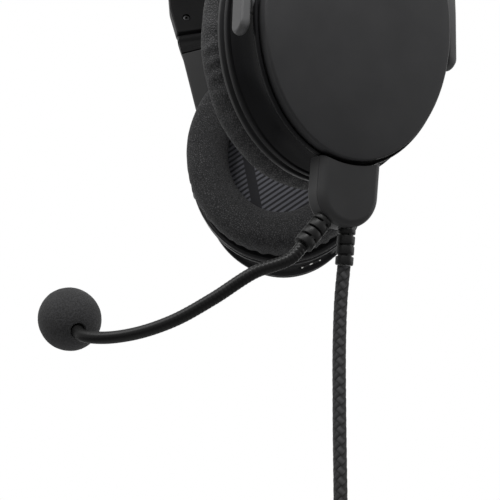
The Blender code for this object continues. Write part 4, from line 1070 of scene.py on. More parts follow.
def plumped(mesh, held, most):
    """Swell a pad by air pressure with its held points fixed, and keep the swollen shape."""
    item = linked("pad_in_cloth", mesh)
    group = item.vertex_groups.new(name="held")
    group.add(held, 1.0, "REPLACE")
    cloth = item.modifiers.new("cloth", "CLOTH")
    for key, value in CLOTH.items():
        setattr(cloth.settings, key, value)
    cloth.settings.effector_weights.gravity = 0.0
    cloth.collision_settings.use_collision = False
    scene = bpy.context.scene
    for number in range(1, CLOTH_FRAMES + 1):
        scene.frame_set(number)
    evaluated = item.evaluated_get(bpy.context.evaluated_depsgraph_get())
    swollen = [vert.co.copy() for vert in evaluated.data.vertices]
    item.modifiers.clear()
    scene.frame_set(1)
    for vert, place in zip(mesh.vertices, swollen):
        move = place - vert.co
        vert.co += move * min(1.0, most / max(move.length, 1e-9))
    bpy.data.objects.remove(item, do_unlink=True)
    mesh.update()
    return mesh


def refined(item):
    """One subdivision, made part of the mesh."""
    modifier = item.modifiers.new("refine", "SUBSURF")
    modifier.levels = 1
    modifier.render_levels = 1
    mesh = plain_mesh(item)
    item.modifiers.clear()
    item.data = mesh
    return mesh


def blunt(value, power):
    """A cosine or sine drawn out towards its ends, so that an oval becomes squarer."""
    return math.copysign(abs(value) ** power, value)


def climb(value, start, width):
    """0 before start, 1 past start and width, and a straight line between."""
    return max(0.0, min(1.0, (value - start) / width))


def cushion_profile(points, shrink):
    """Section of an ear cushion as (x, inset): crowned, with its sides drawn in at the base."""
    half_band = CUSHION_BAND / 2
    middle = half_band - CUSHION_OVERHANG
    centre = (CUSHION_FACE + CUSHION_BASE) / 2
    profile = []
    for step in range(points):
        angle = 2 * math.pi * step / points
        across = blunt(math.cos(angle), 0.7)
        along = blunt(math.sin(angle), 0.7)
        drawn = 1.0 - CUSHION_DRAW * max(0.0, along)
        x = centre + along * CUSHION_THICK / 2 * (shrink if along < 0 else 1.0)
        fuller = CUSHION_INNER_BULGE * max(0.0, -across) * math.cos(along * math.pi / 2)
        profile.append((x, middle - across * half_band * drawn * shrink + fuller))
    return profile


def gather(angle, seed):
    """Uneven tucks round a cushion's edge, from -1 to 1."""
    wave = math.sin(46 * angle + 2.5 * noise.noise((3 * math.cos(angle), 3 * math.sin(angle), seed)) * 2)
    swell = 0.6 + 0.7 * noise.noise((4 * math.cos(angle), 4 * math.sin(angle), seed + 7))
    return wave * max(0.15, swell)


def ear_cushion(name, side, place):
    """Leather ring: plumped, then tucked along the edge where it is drawn over the flange."""
    points = 36
    body = lofted(oval_loops(cushion_profile(points, 0.95), side), wrap=True)
    mesh = to_mesh(f"{name}_ear_cushion", body, None, 180.0)
    held = [vert.index for vert in mesh.vertices if abs(side * vert.co.x - CUSHION_BASE) < 0.0012]
    plumped(mesh, held, 0.0007)
    item = show(mesh, f"{name}_cup", [f"{name}_cushion"], "leather")
    mesh = refined(item)
    for vert in mesh.vertices:
        depth = (side * vert.co.x - CUSHION_FACE) / CUSHION_THICK
        angle = math.atan2(vert.co.z / CUP_HALF_HEIGHT, vert.co.y / CUP_HALF_WIDTH)
        reach = math.hypot(vert.co.y / CUP_HALF_WIDTH, vert.co.z / CUP_HALF_HEIGHT)
        tuck = climb(reach, 0.80, 0.12) * climb(depth, 0.30, 0.35) * climb(1.0 - depth, 0.0, 0.12)
        soft = noise.noise(vert.co * LUMPS_PER_METRE) * LUMP_HEIGHT * (1.0 - max(0.0, depth - 0.85) / 0.15)
        vert.co += vert.normal * (TUCK_DEPTH * tuck * (gather(angle, side) - TUCK_LEVEL) + soft)
    mesh.transform(place)
    mesh.update()
    return item


def scrim(name, side, place):
    """Striped cloth stretched over the speaker."""
    inset = CUSHION_BAND - CUSHION_OVERHANG + 0.001
    top = FLANGE_FRONT - GAP
    half_width, half_height = oval(inset)
    loops = [oval_loop(side * top, half_width, half_height, SCRIM_STEPS)]
    for share in (1.0, 0.92, 0.75, 0.5, 0.25, 0.02):
        x = top - SCRIM_THICK * 0.6 - SCRIM_SAG * (1.0 - share * share)
        loops.append(oval_loop(side * x, share * half_width, share * half_height, SCRIM_STEPS))
    mesh = to_mesh(f"{name}_scrim_cloth", lofted(loops), place)
    item = show(mesh, f"{name}_cup", [f"{name}_scrim"], "scrim")
    return item


# Cups


def smooth_profile(points, start, end, spacing):
    """A profile whose stretch from one index to another is drawn as a smooth curve."""
    stretch = smooth_route([(x, inset, 0.0) for x, inset in points[start:end + 1]], spacing)
    return [*points[:start], *[(p.x, p.y) for p in stretch], *points[end + 1:]]


def cup_shell(name, side, place):
    """Waisted body with a rounded lip, open to the cushion side."""
    step = 0.0006
    outside = (
        (SHELL_FRONT, WAIST_INSET * 0.35),
        (SHELL_FRONT * 0.6, WAIST_INSET * 0.75),
        (SHELL_FRONT * 0.1, WAIST_INSET),
        (0.0009, WAIST_INSET),
        (LIP_TOP - 3.5 * step, LIP_INSET + step / 2),
        (LIP_TOP - 2 * step, LIP_INSET),
    )
    waist = smooth_profile(list(outside), 0, len(outside) - 1, 0.0005)
    lip = (
        (LIP_TOP - step / 2, LIP_INSET + step / 4),
        (LIP_TOP - step / 6, LIP_INSET + 0.6 * step),
        (LIP_TOP, LIP_INSET + step),
        (LIP_TOP - step / 8, CAP_INSET - GROOVE - step / 3),
        (LIP_TOP - step / 2, CAP_INSET - GROOVE),
        (SHELF_TOP, CAP_INSET - GROOVE),
        (SHELF_TOP, WAIST_INSET + 2 * WALL),
        (SHELF_TOP - WALL, WAIST_INSET + 2 * WALL),
        (SHELF_TOP - WALL, WAIST_INSET + WALL),
        (SHELL_FRONT, WAIST_INSET * 0.35 + WALL),
    )
    body = lofted(oval_loops([*waist, *lip], side, CUP_UPRIGHT), wrap=True)
    mesh = to_mesh(f"{name}_cup_body", body, place)
    return show(mesh, f"{name}_cup", [f"{name}_cup_shell"], "shell")


def cup_cap(name, side, place):
    """Slightly crowned cap with a rounded edge."""
    round_off = 0.0008
    profile = [(SHELF_TOP + GAP, CAP_INSET)]
    for up, inset in quarter_round(round_off, 6):
        profile.append((CAP_EDGE - round_off + up, CAP_INSET + inset))
    reach = 0.030
    for step in range(1, 15):
        share = step / 14
        crown = CAP_CROWN * (1 - (1 - share) ** 2)
        profile.append((CAP_EDGE + crown, CAP_INSET + round_off + reach * share * 0.98))
    body = lofted(oval_loops(profile, side, CUP_UPRIGHT))
    mesh = to_mesh(f"{name}_cap_face", body, place)
    return show(mesh, f"{name}_cup", [f"{name}_cup_cap"], "cap")


def flange(name, side, place):
    """Flange with two rounded lips and a groove between them."""
    ledge, edge = 0.0012, 0.00035
    outline = rounded([
        (FLANGE_FRONT, 0.014),
        (FLANGE_FRONT, ledge * 0.7),
        (FLANGE_FRONT + 0.0004, 0.0),
        (FLANGE_FRONT + 0.0022, 0.0),
        (FLANGE_FRONT + 0.0025, ledge),
        (FLANGE_FRONT + 0.0036, ledge),
        (FLANGE_FRONT + 0.0039, ledge / 3),
        (FLANGE_BACK, ledge / 2),
        (FLANGE_BACK, ledge + 0.002),
        (FLANGE_FRONT + 0.002, ledge + 0.002),
        (FLANGE_FRONT + 0.002, 0.014),
    ], edge, 3)
    body = lofted(oval_loops(outline, side), wrap=True)
    mesh = to_mesh(f"{name}_flange", body, place, 60.0)
    return show(mesh, f"{name}_cup", [f"{name}_baffle"], "flange")


def pivot_discs(name, place):
    """Rounded bosses on the cup where the yoke's pins enter."""
    outer = LEG_IN - GAP
    inner = CUP_HALF_WIDTH - WAIST_INSET - 0.0002
    profile = [
        (TILT_PIN_RADIUS + RUN, outer), (BUSH_RADIUS - 0.0006, outer), (BUSH_RADIUS - 0.0002, outer - 0.0002),
        (BUSH_RADIUS, outer - 0.0006), (BUSH_RADIUS - 0.0001, inner), (TILT_PIN_RADIUS + RUN, inner),
    ]
    for word, way in (("front", turn(math.pi / 2, "X")), ("back", ALONG_Y)):
        mesh = to_mesh(f"{name}_{word}_pivot_disc", lathed(profile, 48, ring=True), place @ way)
        show(mesh, f"{name}_cup", [f"{name}_{word}_bush"], "disc")


# Yokes, knuckles and headband


def yoke_outline(front_tip, rise, inset):
    """Outline of the fork in its own plane; rise shortens both legs, inset draws it in all round."""
    lean = Vector((-math.sin(YOKE_LEAN), math.cos(YOKE_LEAN)))
    across = Vector((math.cos(YOKE_LEAN), math.sin(YOKE_LEAN)))
    top = lean * (STEM_LENGTH - GAP / 2)
    front_corner = top - across * YOKE_TOP_HALF
    back_corner = top + across * YOKE_TOP_HALF
    front_in, front_out = -LEG_IN - STEM_BACK, -LEG_OUT - STEM_BACK
    back_in, back_out = LEG_IN - STEM_BACK, LEG_OUT - STEM_BACK
    half_leg = LEG_THICK / 2
    outline = [tuple(front_corner), (front_out, LEG_STRAIGHT)]
    outline += arc((front_out + half_leg, rise - front_tip + half_leg), half_leg, 180, 360, 10)
    middle = (front_in + back_in) / 2
    for step in range(1, 48):
        angle = math.pi * (1 - step / 48)
        outline.append((middle + LEG_IN * math.cos(angle), YOKE_OPENING_UP * math.sin(angle)))
    outline += arc((back_out - half_leg, rise - BACK_LEG_TIP + half_leg), half_leg, 180, 360, 10)
    shoulder = tuple(back_corner + across * 0.5 * YOKE_TOP_HALF)
    outline += bezier((back_out, 0.012), (back_out, 0.75 * STEM_LENGTH), shoulder, tuple(back_corner), 24)
    drawn = []
    count = len(outline)
    for index in range(count):
        here = Vector(outline[index])
        before = (here - Vector(outline[index - 1])).normalized()
        after = (Vector(outline[(index + 1) % count]) - here).normalized()
        inward = Vector((-before.y - after.y, before.x + after.x)).normalized()
        drawn.append(here + inward * inset)
    return drawn


def edge_layers(half, edge, steps=4, between=6):
    """(depth, inset) pairs through a plate whose two rims are rounded."""
    layers = [(-half + inset, edge - up) for up, inset in quarter_round(edge, steps)]
    inner = [(-half + edge + 2 * (half - edge) * k / between, 0.0) for k in range(1, between)]
    return [*layers, *inner, *[(-depth, inset) for depth, inset in reversed(layers)]]


def yoke(name, side, place):
    """Flat fork with its swivel stem, its legs rounded off at their ends, and the pins inside them."""
    half = YOKE_THICK / 2
    loops = []
    for depth, inset in edge_layers(half, 0.0007):
        rise = 0.9 * half * (1 - math.sqrt(max(0.0, 1 - (depth / half) ** 2)))
        loops.append([(side * depth, u, v) for u, v in yoke_outline(FRONT_LEG_TIPS[name], rise, inset)])
    fork = to_mesh("fork", lofted(loops))
    # This attribute drives the painted shade on the fork's inner face.
    outward = fork.attributes.new("outward", "FLOAT", "POINT")
    for vert in fork.vertices:
        outward.data[vert.index].value = side * vert.co.x / half
    lean = Vector((0, -math.sin(YOKE_LEAN), math.cos(YOKE_LEAN)))
    top = lean * (STEM_LENGTH - GAP / 2)
    stem = [
        (0.0, STEM_STUB), (STEM_RADIUS - 0.0003, STEM_STUB), (STEM_RADIUS, STEM_STUB - 0.0003),
        (STEM_RADIUS, -0.001), (0.0, -0.001),
    ]
    mesh = joined(f"{name}_fork", [fork, to_mesh("stem", lathed(stem, 32), z_along(lean, top))], place)
    item = show(mesh, f"{name}_yoke", [f"{name}_yoke"], "yoke")
    holes = []
    inner = CUP_HALF_WIDTH - WAIST_INSET - WALL
    outer = LEG_OUT - 0.001
    profile = [
        (0.0, outer), (TILT_PIN_RADIUS - 0.0002, outer), (TILT_PIN_RADIUS, outer - 0.0002),
        (TILT_PIN_RADIUS, inner), (0.0, inner),
    ]
    axis = place @ Matrix.Translation((0, -STEM_BACK, 0))
    for word, way in (("front", turn(math.pi / 2, "X")), ("back", ALONG_Y)):
        reach = outer + GAP - inner
        hole = axis @ way @ Matrix.Translation((0, 0, inner + reach / 2))
        holes.append(round_cutter(TILT_PIN_RADIUS + RUN, reach, hole))
        pin = to_mesh(f"{name}_{word}_pin", lathed(profile, 32), axis @ way)
        show(pin, f"{name}_yoke", [f"{name}_{word}_tilt_pin"], "steel")
    cut(item, holes)
    shade_evenly(item)


def fold_knuckle(name, side, place):
    """Collar between housing and yoke: round about the fold pin, twisted below it to meet the yoke."""
    fork = PLACES[name]["yoke"].to_3x3() @ Vector((0, math.cos(YOKE_LEAN), math.sin(YOKE_LEAN)))
    fork = place.to_3x3().inverted() @ fork
    twist = math.atan2(-fork.x, fork.y)
    bottom = -KNUCKLE_DROP + GAP / 2
    levels = [(bottom + (0.0 - bottom) * k / 6, 1.0 - k / 6) for k in range(7)]
    levels += [(KNUCKLE_RADIUS * math.sin(math.pi / 2 * k / 10), 0.0) for k in range(1, 10)]
    loops = []
    for z, share in levels:
        if z > 0:
            half = math.sqrt(KNUCKLE_RADIUS ** 2 - z * z)
        else:
            half = KNUCKLE_RADIUS + (YOKE_THICK / 2 - KNUCKLE_RADIUS) * share
        wide = KNUCKLE_HALF + (YOKE_TOP_HALF - KNUCKLE_HALF) * share
        section = rounded([(-half, -wide), (half, -wide), (half, wide), (-half, wide)], min(0.0005, half * 0.4), 3)
        swung = turn(twist * share, "Z")
        loops.append([swung @ Vector((u, v, z)) for u, v in section])
    mesh = to_mesh(f"{name}_collar", lofted(loops), place)
    item = show(mesh, f"{name}_hinge", [f"{name}_fold_knuckle"], "band")
    height = 2 * KNUCKLE_RADIUS
    notch = Matrix.Translation((0, 0, height / 2 - SLIDER_EYE - RUN))
    face = Matrix.Translation((-side * KNUCKLE_RADIUS, -0.0115, -0.0018)) @ turn(math.pi / 2, "Y")
    cut(item, [
        slot_cutter(4 * KNUCKLE_RADIUS, 2 * (SLIDER_HALF + RUN), height, 0.0001, place @ notch),
        round_cutter(STEM_RADIUS + RUN, 2 * (STEM_STUB + RUN), place @ Matrix.Translation((0, 0, -KNUCKLE_DROP))),
        round_cutter(FOLD_PIN_RADIUS + RUN / 2, 3 * KNUCKLE_HALF, place @ ALONG_Y),
        slot_cutter(0.0011, 0.0030, 0.0008, 0.0005, place @ face),
    ])
    shade_evenly(item)


def housing(name, side, place):
    """Flat end of the headband, with softened edges, the slider's slot and a sunk screw."""
    outline = rounded([
        (-HOUSING_HALF_LOW, HOUSING_LOW), (HOUSING_HALF_LOW, HOUSING_LOW),
        (HOUSING_HALF_HIGH, HOUSING_HIGH), (-HOUSING_HALF_HIGH, HOUSING_HIGH),
        (-HOUSING_FRONT_MIDDLE, HOUSING_LOW + HOUSING_MIDDLE_UP),
    ], 0.0012, 3)
    half = HOUSING_THICK / 2
    mesh = to_mesh(f"{name}_band_end", slab(outline, -half, half, 0.0006, 0.0006), place @ YZ_PLANE)
    item = show(mesh, "headband", [f"{name}_housing"], "band")
    high, low = SLIDER_LENGTH + 2 * RUN, HOUSING_LOW - HOUSING_THICK
    slot = place @ Matrix.Translation((0, 0, (high + low) / 2))
    hole = place @ Matrix.Translation((-side * half, SCREW_EDGE - HOUSING_HALF_LOW, HOUSING_LOW + SCREW_UP))
    cut(item, [
        slot_cutter(SLIDER_THICK + 2 * RUN, 2 * (SLIDER_HALF + RUN), high - low, 0.0001, slot),
        round_cutter(SCREW_RADIUS + RUN, 2 * SCREW_DEPTH, hole @ turn(math.pi / 2, "Y")),
    ])
    shade_evenly(item)


def arch_path():
    """Centre line of the headband in its own plane, right to left, with the way out at each point."""
    reach = ARM_LENGTH + HOUSING_HIGH + GAP
    way = Vector((math.sin(ARM_TOE), math.cos(ARM_TOE)))
    foot = Vector((stem_foot.x, -BAND_DROP)) + way * reach
    crown = Vector((0.0, PAD_THICK + GAP + CORE_THICK / 2))
    crown_pull = crown + Vector((ARCH_CROWN, 0))
    foot_pull = foot + way * ARCH_SHOULDER
    half = bezier(tuple(crown), tuple(crown_pull), tuple(foot_pull), tuple(foot), ARCH_STEPS)
    points = [Vector((-x, z)) for x, z in reversed(half[1:])] + [Vector(point) for point in half]
    outs = []
    for index in range(len(points)):
        along = points[min(index + 1, len(points) - 1)] - points[max(index - 1, 0)]
        outs.append(Vector((-along.y, along.x)).normalized())
    return points, outs


def band_cover(points, outs):
    """Outer cover of the headband, with rounded edges along both sides."""
    low = CORE_THICK / 2 + GAP
    section = rounded([
        (-BAND_HALF_WIDTH, low), (BAND_HALF_WIDTH, low),
        (BAND_HALF_WIDTH, low + COVER_THICK), (-BAND_HALF_WIDTH, low + COVER_THICK),
    ], 0.0011, 4)
    loops = []
    for point, out in zip(points, outs):
        loops.append([((point + out * h).x, w, (point + out * h).y) for w, h in section])
    mesh = to_mesh("headband_cover", lofted(loops), BAND_PLACE)
    return show(mesh, "headband", ["band_cover"], "band")


def band_pad(points, outs):
    """Padded underside of the headband: plumped, with a row of stitches along each edge."""
    top = -CORE_THICK / 2 - GAP
    last = len(points) - 1
    corners = 28
    loops, tops = [], []
    for index in range(last + 1):
        share = abs(2 * index / last - 1) / PAD_REACH
        if share > 1.0:
            continue
        crown = math.cos(share * math.pi / 2) ** 0.5 if share < 1 else 0.0
        depth = PAD_END_THICK + (PAD_THICK - PAD_END_THICK) * crown
        loop = []
        for step in range(corners):
            angle = 2 * math.pi * step / corners
            across = blunt(math.cos(angle), 0.6) * PAD_HALF_WIDTH * 0.985
            along = blunt(math.sin(angle), 0.6) * depth / 2 * 0.96
            centre = points[index] + outs[index] * (top - depth / 2 + along)
            loop.append((centre.x, across, centre.y))
            if along > 0.3 * depth:
                tops.append(len(loops) * corners + step)
        loops.append(loop)
    mesh = to_mesh("headband_pad", lofted(loops), None, 180.0)
    plumped(mesh, tops, 0.0006)
    item = show(mesh, "headband", ["band_pad"], "suede")
    mesh = refined(item)
    for vert in mesh.vertices:
        vert.co += vert.normal * noise.noise(vert.co * 75.0) * 0.0004
    skin = BVHTree.FromPolygons([v.co for v in mesh.vertices], [tuple(f.vertices) for f in mesh.polygons])
    rows = []
    for way in (-1, 1):
        row = []
        for point, out in zip(points, outs):
            if abs(point.x) > STITCH_REACH:
                continue
            aim = point + out * -0.03
            spot, normal, _, _ = skin.find_nearest(Vector((aim.x, way * STITCH_ACROSS, aim.y)))
            row.append(BAND_PLACE @ (spot + normal * 0.0001))
        line = open_curve("stitch_path", smooth_route(row, 0.0015))
        rows.append(grown(
            "pad_stitch_row", "stitches", line, Spacing=0.0032, Stitch_Length=0.0021, Thread=0.00028,
            Finish=FINISH["suede"],
        ))
    mesh.transform(BAND_PLACE)
    mesh.update()
    show(joined("pad_stitches", rows), "headband", [], "suede")
    return item


def arm_screws():
    """Small sunk screws on the housings' inner faces: a dished head with a drive socket."""
    radius, floor = SCREW_RADIUS, -SCREW_DEPTH + 2 * GAP
    profile = [
        (0.0, -0.0009), (0.00050, -0.0009), (0.00055, -0.0001), (0.00065, 0.0), (radius - 0.0003, 0.0),
        (radius - 0.0001, -0.00012), (radius, -0.0004), (radius, floor), (0.0, floor),
    ]
    for name, side in SIDES.items():
        face = Matrix.Translation((
            -side * (HOUSING_THICK / 2 - GAP), SCREW_EDGE - HOUSING_HALF_LOW, HOUSING_LOW + SCREW_UP
        ))
        mesh = grown(
            f"{name}_arm_screw", "row", to_mesh("screw_head", lathed(profile, 24)), Count=1, Step=(0.0, 0.0, 0.0),
            Turn=0.0, Finish=FINISH["screw"],
        )
        mesh.transform(PLACES[name]["arm"] @ face @ turn(-side * math.pi / 2, "Y"))
        show(mesh, "headband", [f"{name}_housing_screw"], "screw")


# Microphone module and boom


def module_outline(inset):
    """U-shaped outline of the module, its top along the cup's lip; inset draws in its sides and foot."""
    half_width, half_height = oval(LIP_INSET - GAP, CUP_UPRIGHT)
    half = MODULE_HALF - inset
    points = []
    for step in range(25):
        y = MODULE_BACK - half + 2 * half * step / 24
        points.append((y, -half_height * math.sqrt(1 - (y / half_width) ** 2)))
    return points + arc((MODULE_BACK, MODULE_BOTTOM + MODULE_HALF), half, 0, -180, 48)


def module_shells(place):
    """Front and back shells of the module, rounded at the sides and foot, with a fine seam between them."""
    seam = LIP_TOP + GAP
    for name, node, start, end, radius in (
        ("module_face", "module_front_shell", seam, MODULE_OUT, MODULE_ROUND),
        ("module_rear", "module_back_shell", seam - GAP / 2, MODULE_IN, 0.6 * MODULE_ROUND),
    ):
        way = 1 if end > start else -1
        layers = [(start, 0.00012), (start + way * 0.00012, 0.0)]
        for up, inset in quarter_round(radius, 10):
            depth = end - way * (radius - up)
            if way * (depth - layers[-1][0]) > 0:
                layers.append((depth, inset))
        loops = [[(y, z, depth) for y, z in module_outline(inset)] for depth, inset in layers]
        mesh = to_mesh(name, lofted(loops), place @ YZ_PLANE)
        show(mesh, "mic_module", [node], "module", even=True)


def relief(name, node, body_name, place, radius, thin, length, segments):
    """Rubber strain relief: a collar and rings in a row, tied by narrow bridges that turn from ring to ring."""
    edge, slit, collar = 0.00018, 0.0006, 0.0013
    pitch = (length - collar) / segments
    height = pitch - slit

    def ring(high, low):
        return [
            (thin * 0.85, high), (radius - edge, high), (radius - 0.3 * edge, high - 0.3 * edge),
            (radius, high - edge), (radius, low + edge), (radius - 0.3 * edge, low + 0.3 * edge),
            (radius - edge, low), (thin * 0.85, low),
        ]

    pieces = [to_mesh("ring", lathed(ring(-slit, -slit - height), 48, ring=True))]
    half = 0.20 * radius
    for half_turn in (0.0, math.pi):
        outline = rounded(
            [(thin * 0.8, -half), (radius * 0.97, -half), (radius * 0.97, half), (thin * 0.8, half)], 0.0002, 2
        )
        pieces.append(to_mesh("bridge", slab(outline, -slit - edge, edge, 0.0, 0.0), turn(half_turn, "Z")))
    rings = grown(
        f"{name}_rings", "row", joined("ring_and_bridges", pieces), Count=segments,
        Step=(0.0, 0.0, -pitch), Turn=math.pi / 2, Finish=FINISH["rubber"],
    )
    rings.transform(Matrix.Translation((0, 0, -collar)))
    core = [(0.0, -0.0002), (thin, -0.0002), (thin, -length + 0.0003), (thin - 0.0003, -length), (0.0, -length)]
    top_collar = to_mesh("collar", lathed(ring(0.0, -collar), 48, ring=True))
    parts = [rings, top_collar, to_mesh("core", lathed(core, 32))]
    return show(joined(name, parts, place), body_name, [node], "rubber")


def z_along(direction, at):
    """A placement whose local Z points along a direction."""
    return Matrix.Translation(at) @ Vector(direction).to_track_quat("Z", "Y").to_matrix().to_4x4()


def boom(place):
    """Strain relief, ribbed gooseneck, and the foam ball on its end."""
    way = Vector((0, -math.sin(BOOM_ANGLE), -math.cos(BOOM_ANGLE)))
    start = Vector((BOOM_X, MODULE_BACK, MODULE_BOTTOM + MODULE_HALF)) + way * (MODULE_HALF + GAP)
    relief(
        "boom_relief", "boom_strain_relief", "mic_module", place @ z_along(-way, start),
        BOOM_RELIEF_RADIUS, BOOM_RADIUS + BOOM_RIB_DEPTH, BOOM_RELIEF_LENGTH, 3,
    )
    neck_start = start + way * (BOOM_RELIEF_LENGTH + GAP)
    route = smooth_route([neck_start, neck_start + way * 2 * BOOM_RADIUS, *BOOM_ROUTE], BOOM_RADIUS / 4)
    line = open_curve("neck_line", [place @ point for point in route])
    mesh = grown(
        "gooseneck", "neck", line, Radius=BOOM_RADIUS, Rib_Depth=BOOM_RIB_DEPTH, Rib_Pitch=BOOM_RIB_PITCH,
        Ribbed_Share=0.72, Finish=FINISH["neck"],
    )
    show(mesh, "mic_boom", ["boom_gooseneck"], "neck")
    tip_way = (route[-1] - route[-4]).normalized()
    middle = route[-1] + tip_way * (GAP + CAPSULE_LENGTH / 2)
    foam_ball(place @ z_along(tip_way, middle))


def foam_ball(place):
    """Foam ball with a bore for the capsule, its mouth softly rounded and its skin uneven."""
    mouth_radius = BOOM_RADIUS + GAP
    mouth = math.asin((mouth_radius + 0.0003) / FOAM_RADIUS)
    profile = []
    for step in range(61):
        angle = math.pi * step / 60 * (1 - mouth / math.pi)
        profile.append((FOAM_RADIUS * math.sin(angle), FOAM_RADIUS * math.cos(angle)))
    lip = -FOAM_RADIUS * math.cos(mouth)
    profile += [(mouth_radius, lip + 0.0005), (mouth_radius, lip + 0.003), (0.0, lip + 0.003)]
    body = lathed(profile, 128)
    for vert in body.verts:
        away = vert.co.normalized()
        vert.co += away * (0.00004 * noise.noise(vert.co * 1500.0) + 0.00006 * noise.noise(vert.co * 260.0))
    bmesh.ops.scale(body, vec=(1, 1, FOAM_STRETCH), verts=body.verts)
    mesh = to_mesh("foam_ball", body, place, 60.0)
    item = show(mesh, "mic_boom", ["mic_foam"], "foam")


# Cord, hank and plug


def hank_points():
    """Loops of the tied hank, in its own axes: X across, Y through, Z up, entering at the top."""
    outer = HANK_INNER + HANK_TURNS * HANK_STEP
    total = 2 * HANK_TURNS + 0.25
    points = []
    for index in range(round(total * HANK_POINTS) + 1):
        turns = min(total, index / HANK_POINTS)
        if turns <= HANK_TURNS:
            half, layer = outer - HANK_STEP * turns, 0.0
        elif turns <= HANK_TURNS + 0.5:
            half, layer = HANK_INNER, (1 - math.cos(2 * math.pi * (turns - HANK_TURNS))) / 2
        else:
            half, layer = HANK_INNER + HANK_STEP * (turns - HANK_TURNS - 0.5), 1.0
        phase = turns % 1.0
        if phase < 0.25:
            z = HANK_HALF_RUN * (1 - 8 * phase)
            x = half - HANK_WAIST * math.cos(math.pi * z / (2 * HANK_HALF_RUN)) ** 2
        elif phase < 0.5:
            angle = -4 * math.pi * (phase - 0.25)
            x, z = half * math.cos(angle), -HANK_HALF_RUN + half * math.sin(angle)
        elif phase < 0.75:
            z = HANK_HALF_RUN * (8 * (phase - 0.5) - 1)
            x = -half + HANK_WAIST * math.cos(math.pi * z / (2 * HANK_HALF_RUN)) ** 2
        else:
            angle = math.pi - 4 * math.pi * (phase - 0.75)
            x, z = half * math.cos(angle), HANK_HALF_RUN + half * math.sin(angle)
        points.append(Vector((x, layer * HANK_STEP, z)))
    return points


def braid_height(around, along):
    """Height of the braid's strands, from 0 to 1: two slanting families that cross by turns."""
    first = around * BRAID_STRANDS + along * BRAID_STRANDS / BRAID_PITCH
    second = around * BRAID_STRANDS - along * BRAID_STRANDS / BRAID_PITCH
    over = (math.floor(first) + math.floor(second)) % 2 == 0
    return abs(math.sin(math.pi * (first if over else second))) ** 0.5


def cord_tube(path):
    """Braided tube along points: fine where it is seen, plainer in the hank."""
    body = bmesh.new()
    sides = 32
    across = None
    along = 0.0
    rows = []
    for index, point in enumerate(path):
        before, after = path[max(index - 1, 0)], path[min(index + 1, len(path) - 1)]
        way = (after - before).normalized()
        if index:
            along += (point - path[index - 1]).length
        if across is None:
            across = way.orthogonal().normalized()
        across = (across - way * across.dot(way)).normalized()
        up = way.cross(across)
        row = []
        for step in range(sides):
            turned = step / sides
            height = braid_height(turned, along)
            radius = CORD_DIAMETER / 2 + BRAID_DEPTH * (height - 0.75)
            angle = 2 * math.pi * turned
            vert = body.verts.new(point + (across * math.cos(angle) + up * math.sin(angle)) * radius)
            row.append(vert)
        rows.append((along, row))
    chart = body.loops.layers.uv.new("braid")
    for (low, first), (high, second) in zip(rows, rows[1:]):
        for step in range(sides):
            after = (step + 1) % sides
            face = body.faces.new((first[step], first[after], second[after], second[step]))
            corners = ((step, low), (step + 1, low), (step + 1, high), (step, high))
            for loop, (turned, far) in zip(face.loops, corners):
                loop[chart].uv = (turned / sides, far)
    body.faces.new(rows[0][1])
    body.faces.new(rows[-1][1])
    return to_mesh("braided_cord", body, None, 70.0)


def cord(place):
    """The cord on its whole route, its relief, the tie round the hank, and the plug."""
    down = Vector((0, 0, -1))
    bottom = MODULE_BOTTOM + MODULE_HALF - math.sqrt(MODULE_HALF ** 2 - (CORD_BACK - MODULE_BACK) ** 2)
    exit_at = Vector((CORD_X, CORD_BACK, bottom - GAP))
    thin = CORD_DIAMETER / 2
    relief(
        "cord_relief", "cord_strain_relief", "mic_module", place @ Matrix.Translation(exit_at),
        CORD_RELIEF_RADIUS, thin + 0.0001, CORD_RELIEF_LENGTH, 3,
    )
    relief_end = place @ (exit_at + down * (CORD_RELIEF_LENGTH + GAP))
    hanging = [Vector((0, 0, 0)), *(Vector(point) for point in CORD_ROUTE)]
    entry = hanging[-1] + down * GAP
    lead = [entry + down * CORD_DIAMETER, entry + down * 2 * CORD_DIAMETER]
    outer_half = HANK_INNER + HANK_TURNS * HANK_STEP
    centre = entry + down * 3 * CORD_DIAMETER - Vector((0, outer_half, HANK_HALF_RUN))
    loops = [centre + Vector((-p.y, p.x, p.z)) for p in hank_points()]
    tail = [loops[-1] + down * HANK_TAIL * step / 8 for step in range(1, 9)]
    route = [relief_end + point for point in hanging + lead + loops + tail]
    seen = smooth_route(route[:len(hanging) + 2], 0.0004)
    unseen = smooth_route(route[len(hanging) + 1:], 0.0012)
    path = [*seen, *unseen[1:]]
    item = show(cord_tube(path), "mic_module", ["cord_hanging", "cord_hank"], "braid")
    tie = hank_tie(relief_end + centre, outer_half)
    plug = plug_pieces(route[-1] + down * GAP)


def hank_tie(centre, outer_half):
    """Flat rubber band round the waist of the hank."""
    half = outer_half - HANK_WAIST + CORD_DIAMETER / 2 + HANK_STEP / 4
    depth = HANK_STEP + CORD_DIAMETER + 4 * GAP + TIE_THICK
    line = [
        *arc((half - depth / 2 + TIE_THICK / 2, 0), depth / 2, -90, 90, 20),
        *arc((depth / 2 - half - TIE_THICK / 2, 0), depth / 2, 90, 270, 20),
    ]
    thick, tall = TIE_THICK / 2, TIE_HALF_HEIGHT
    section = rounded([(-thick, -tall), (thick, -tall), (thick, tall), (-thick, tall)], 0.0005, 3)
    loops = []
    count = len(line)
    for index in range(count):
        along = Vector(line[(index + 1) % count]) - Vector(line[index - 1])
        out = Vector((along.y, -along.x)).normalized()
        loops.append([(*(Vector(line[index]) + out * u), v) for u, v in section])
    place = Matrix.Translation(centre + Vector((-HANK_STEP / 2, 0, 0))) @ turn(math.pi / 2, "Z")
    mesh = to_mesh("hank_band", lofted(loops, wrap=True), place)
    return show(mesh, "mic_module", ["hank_tie"], "rubber")


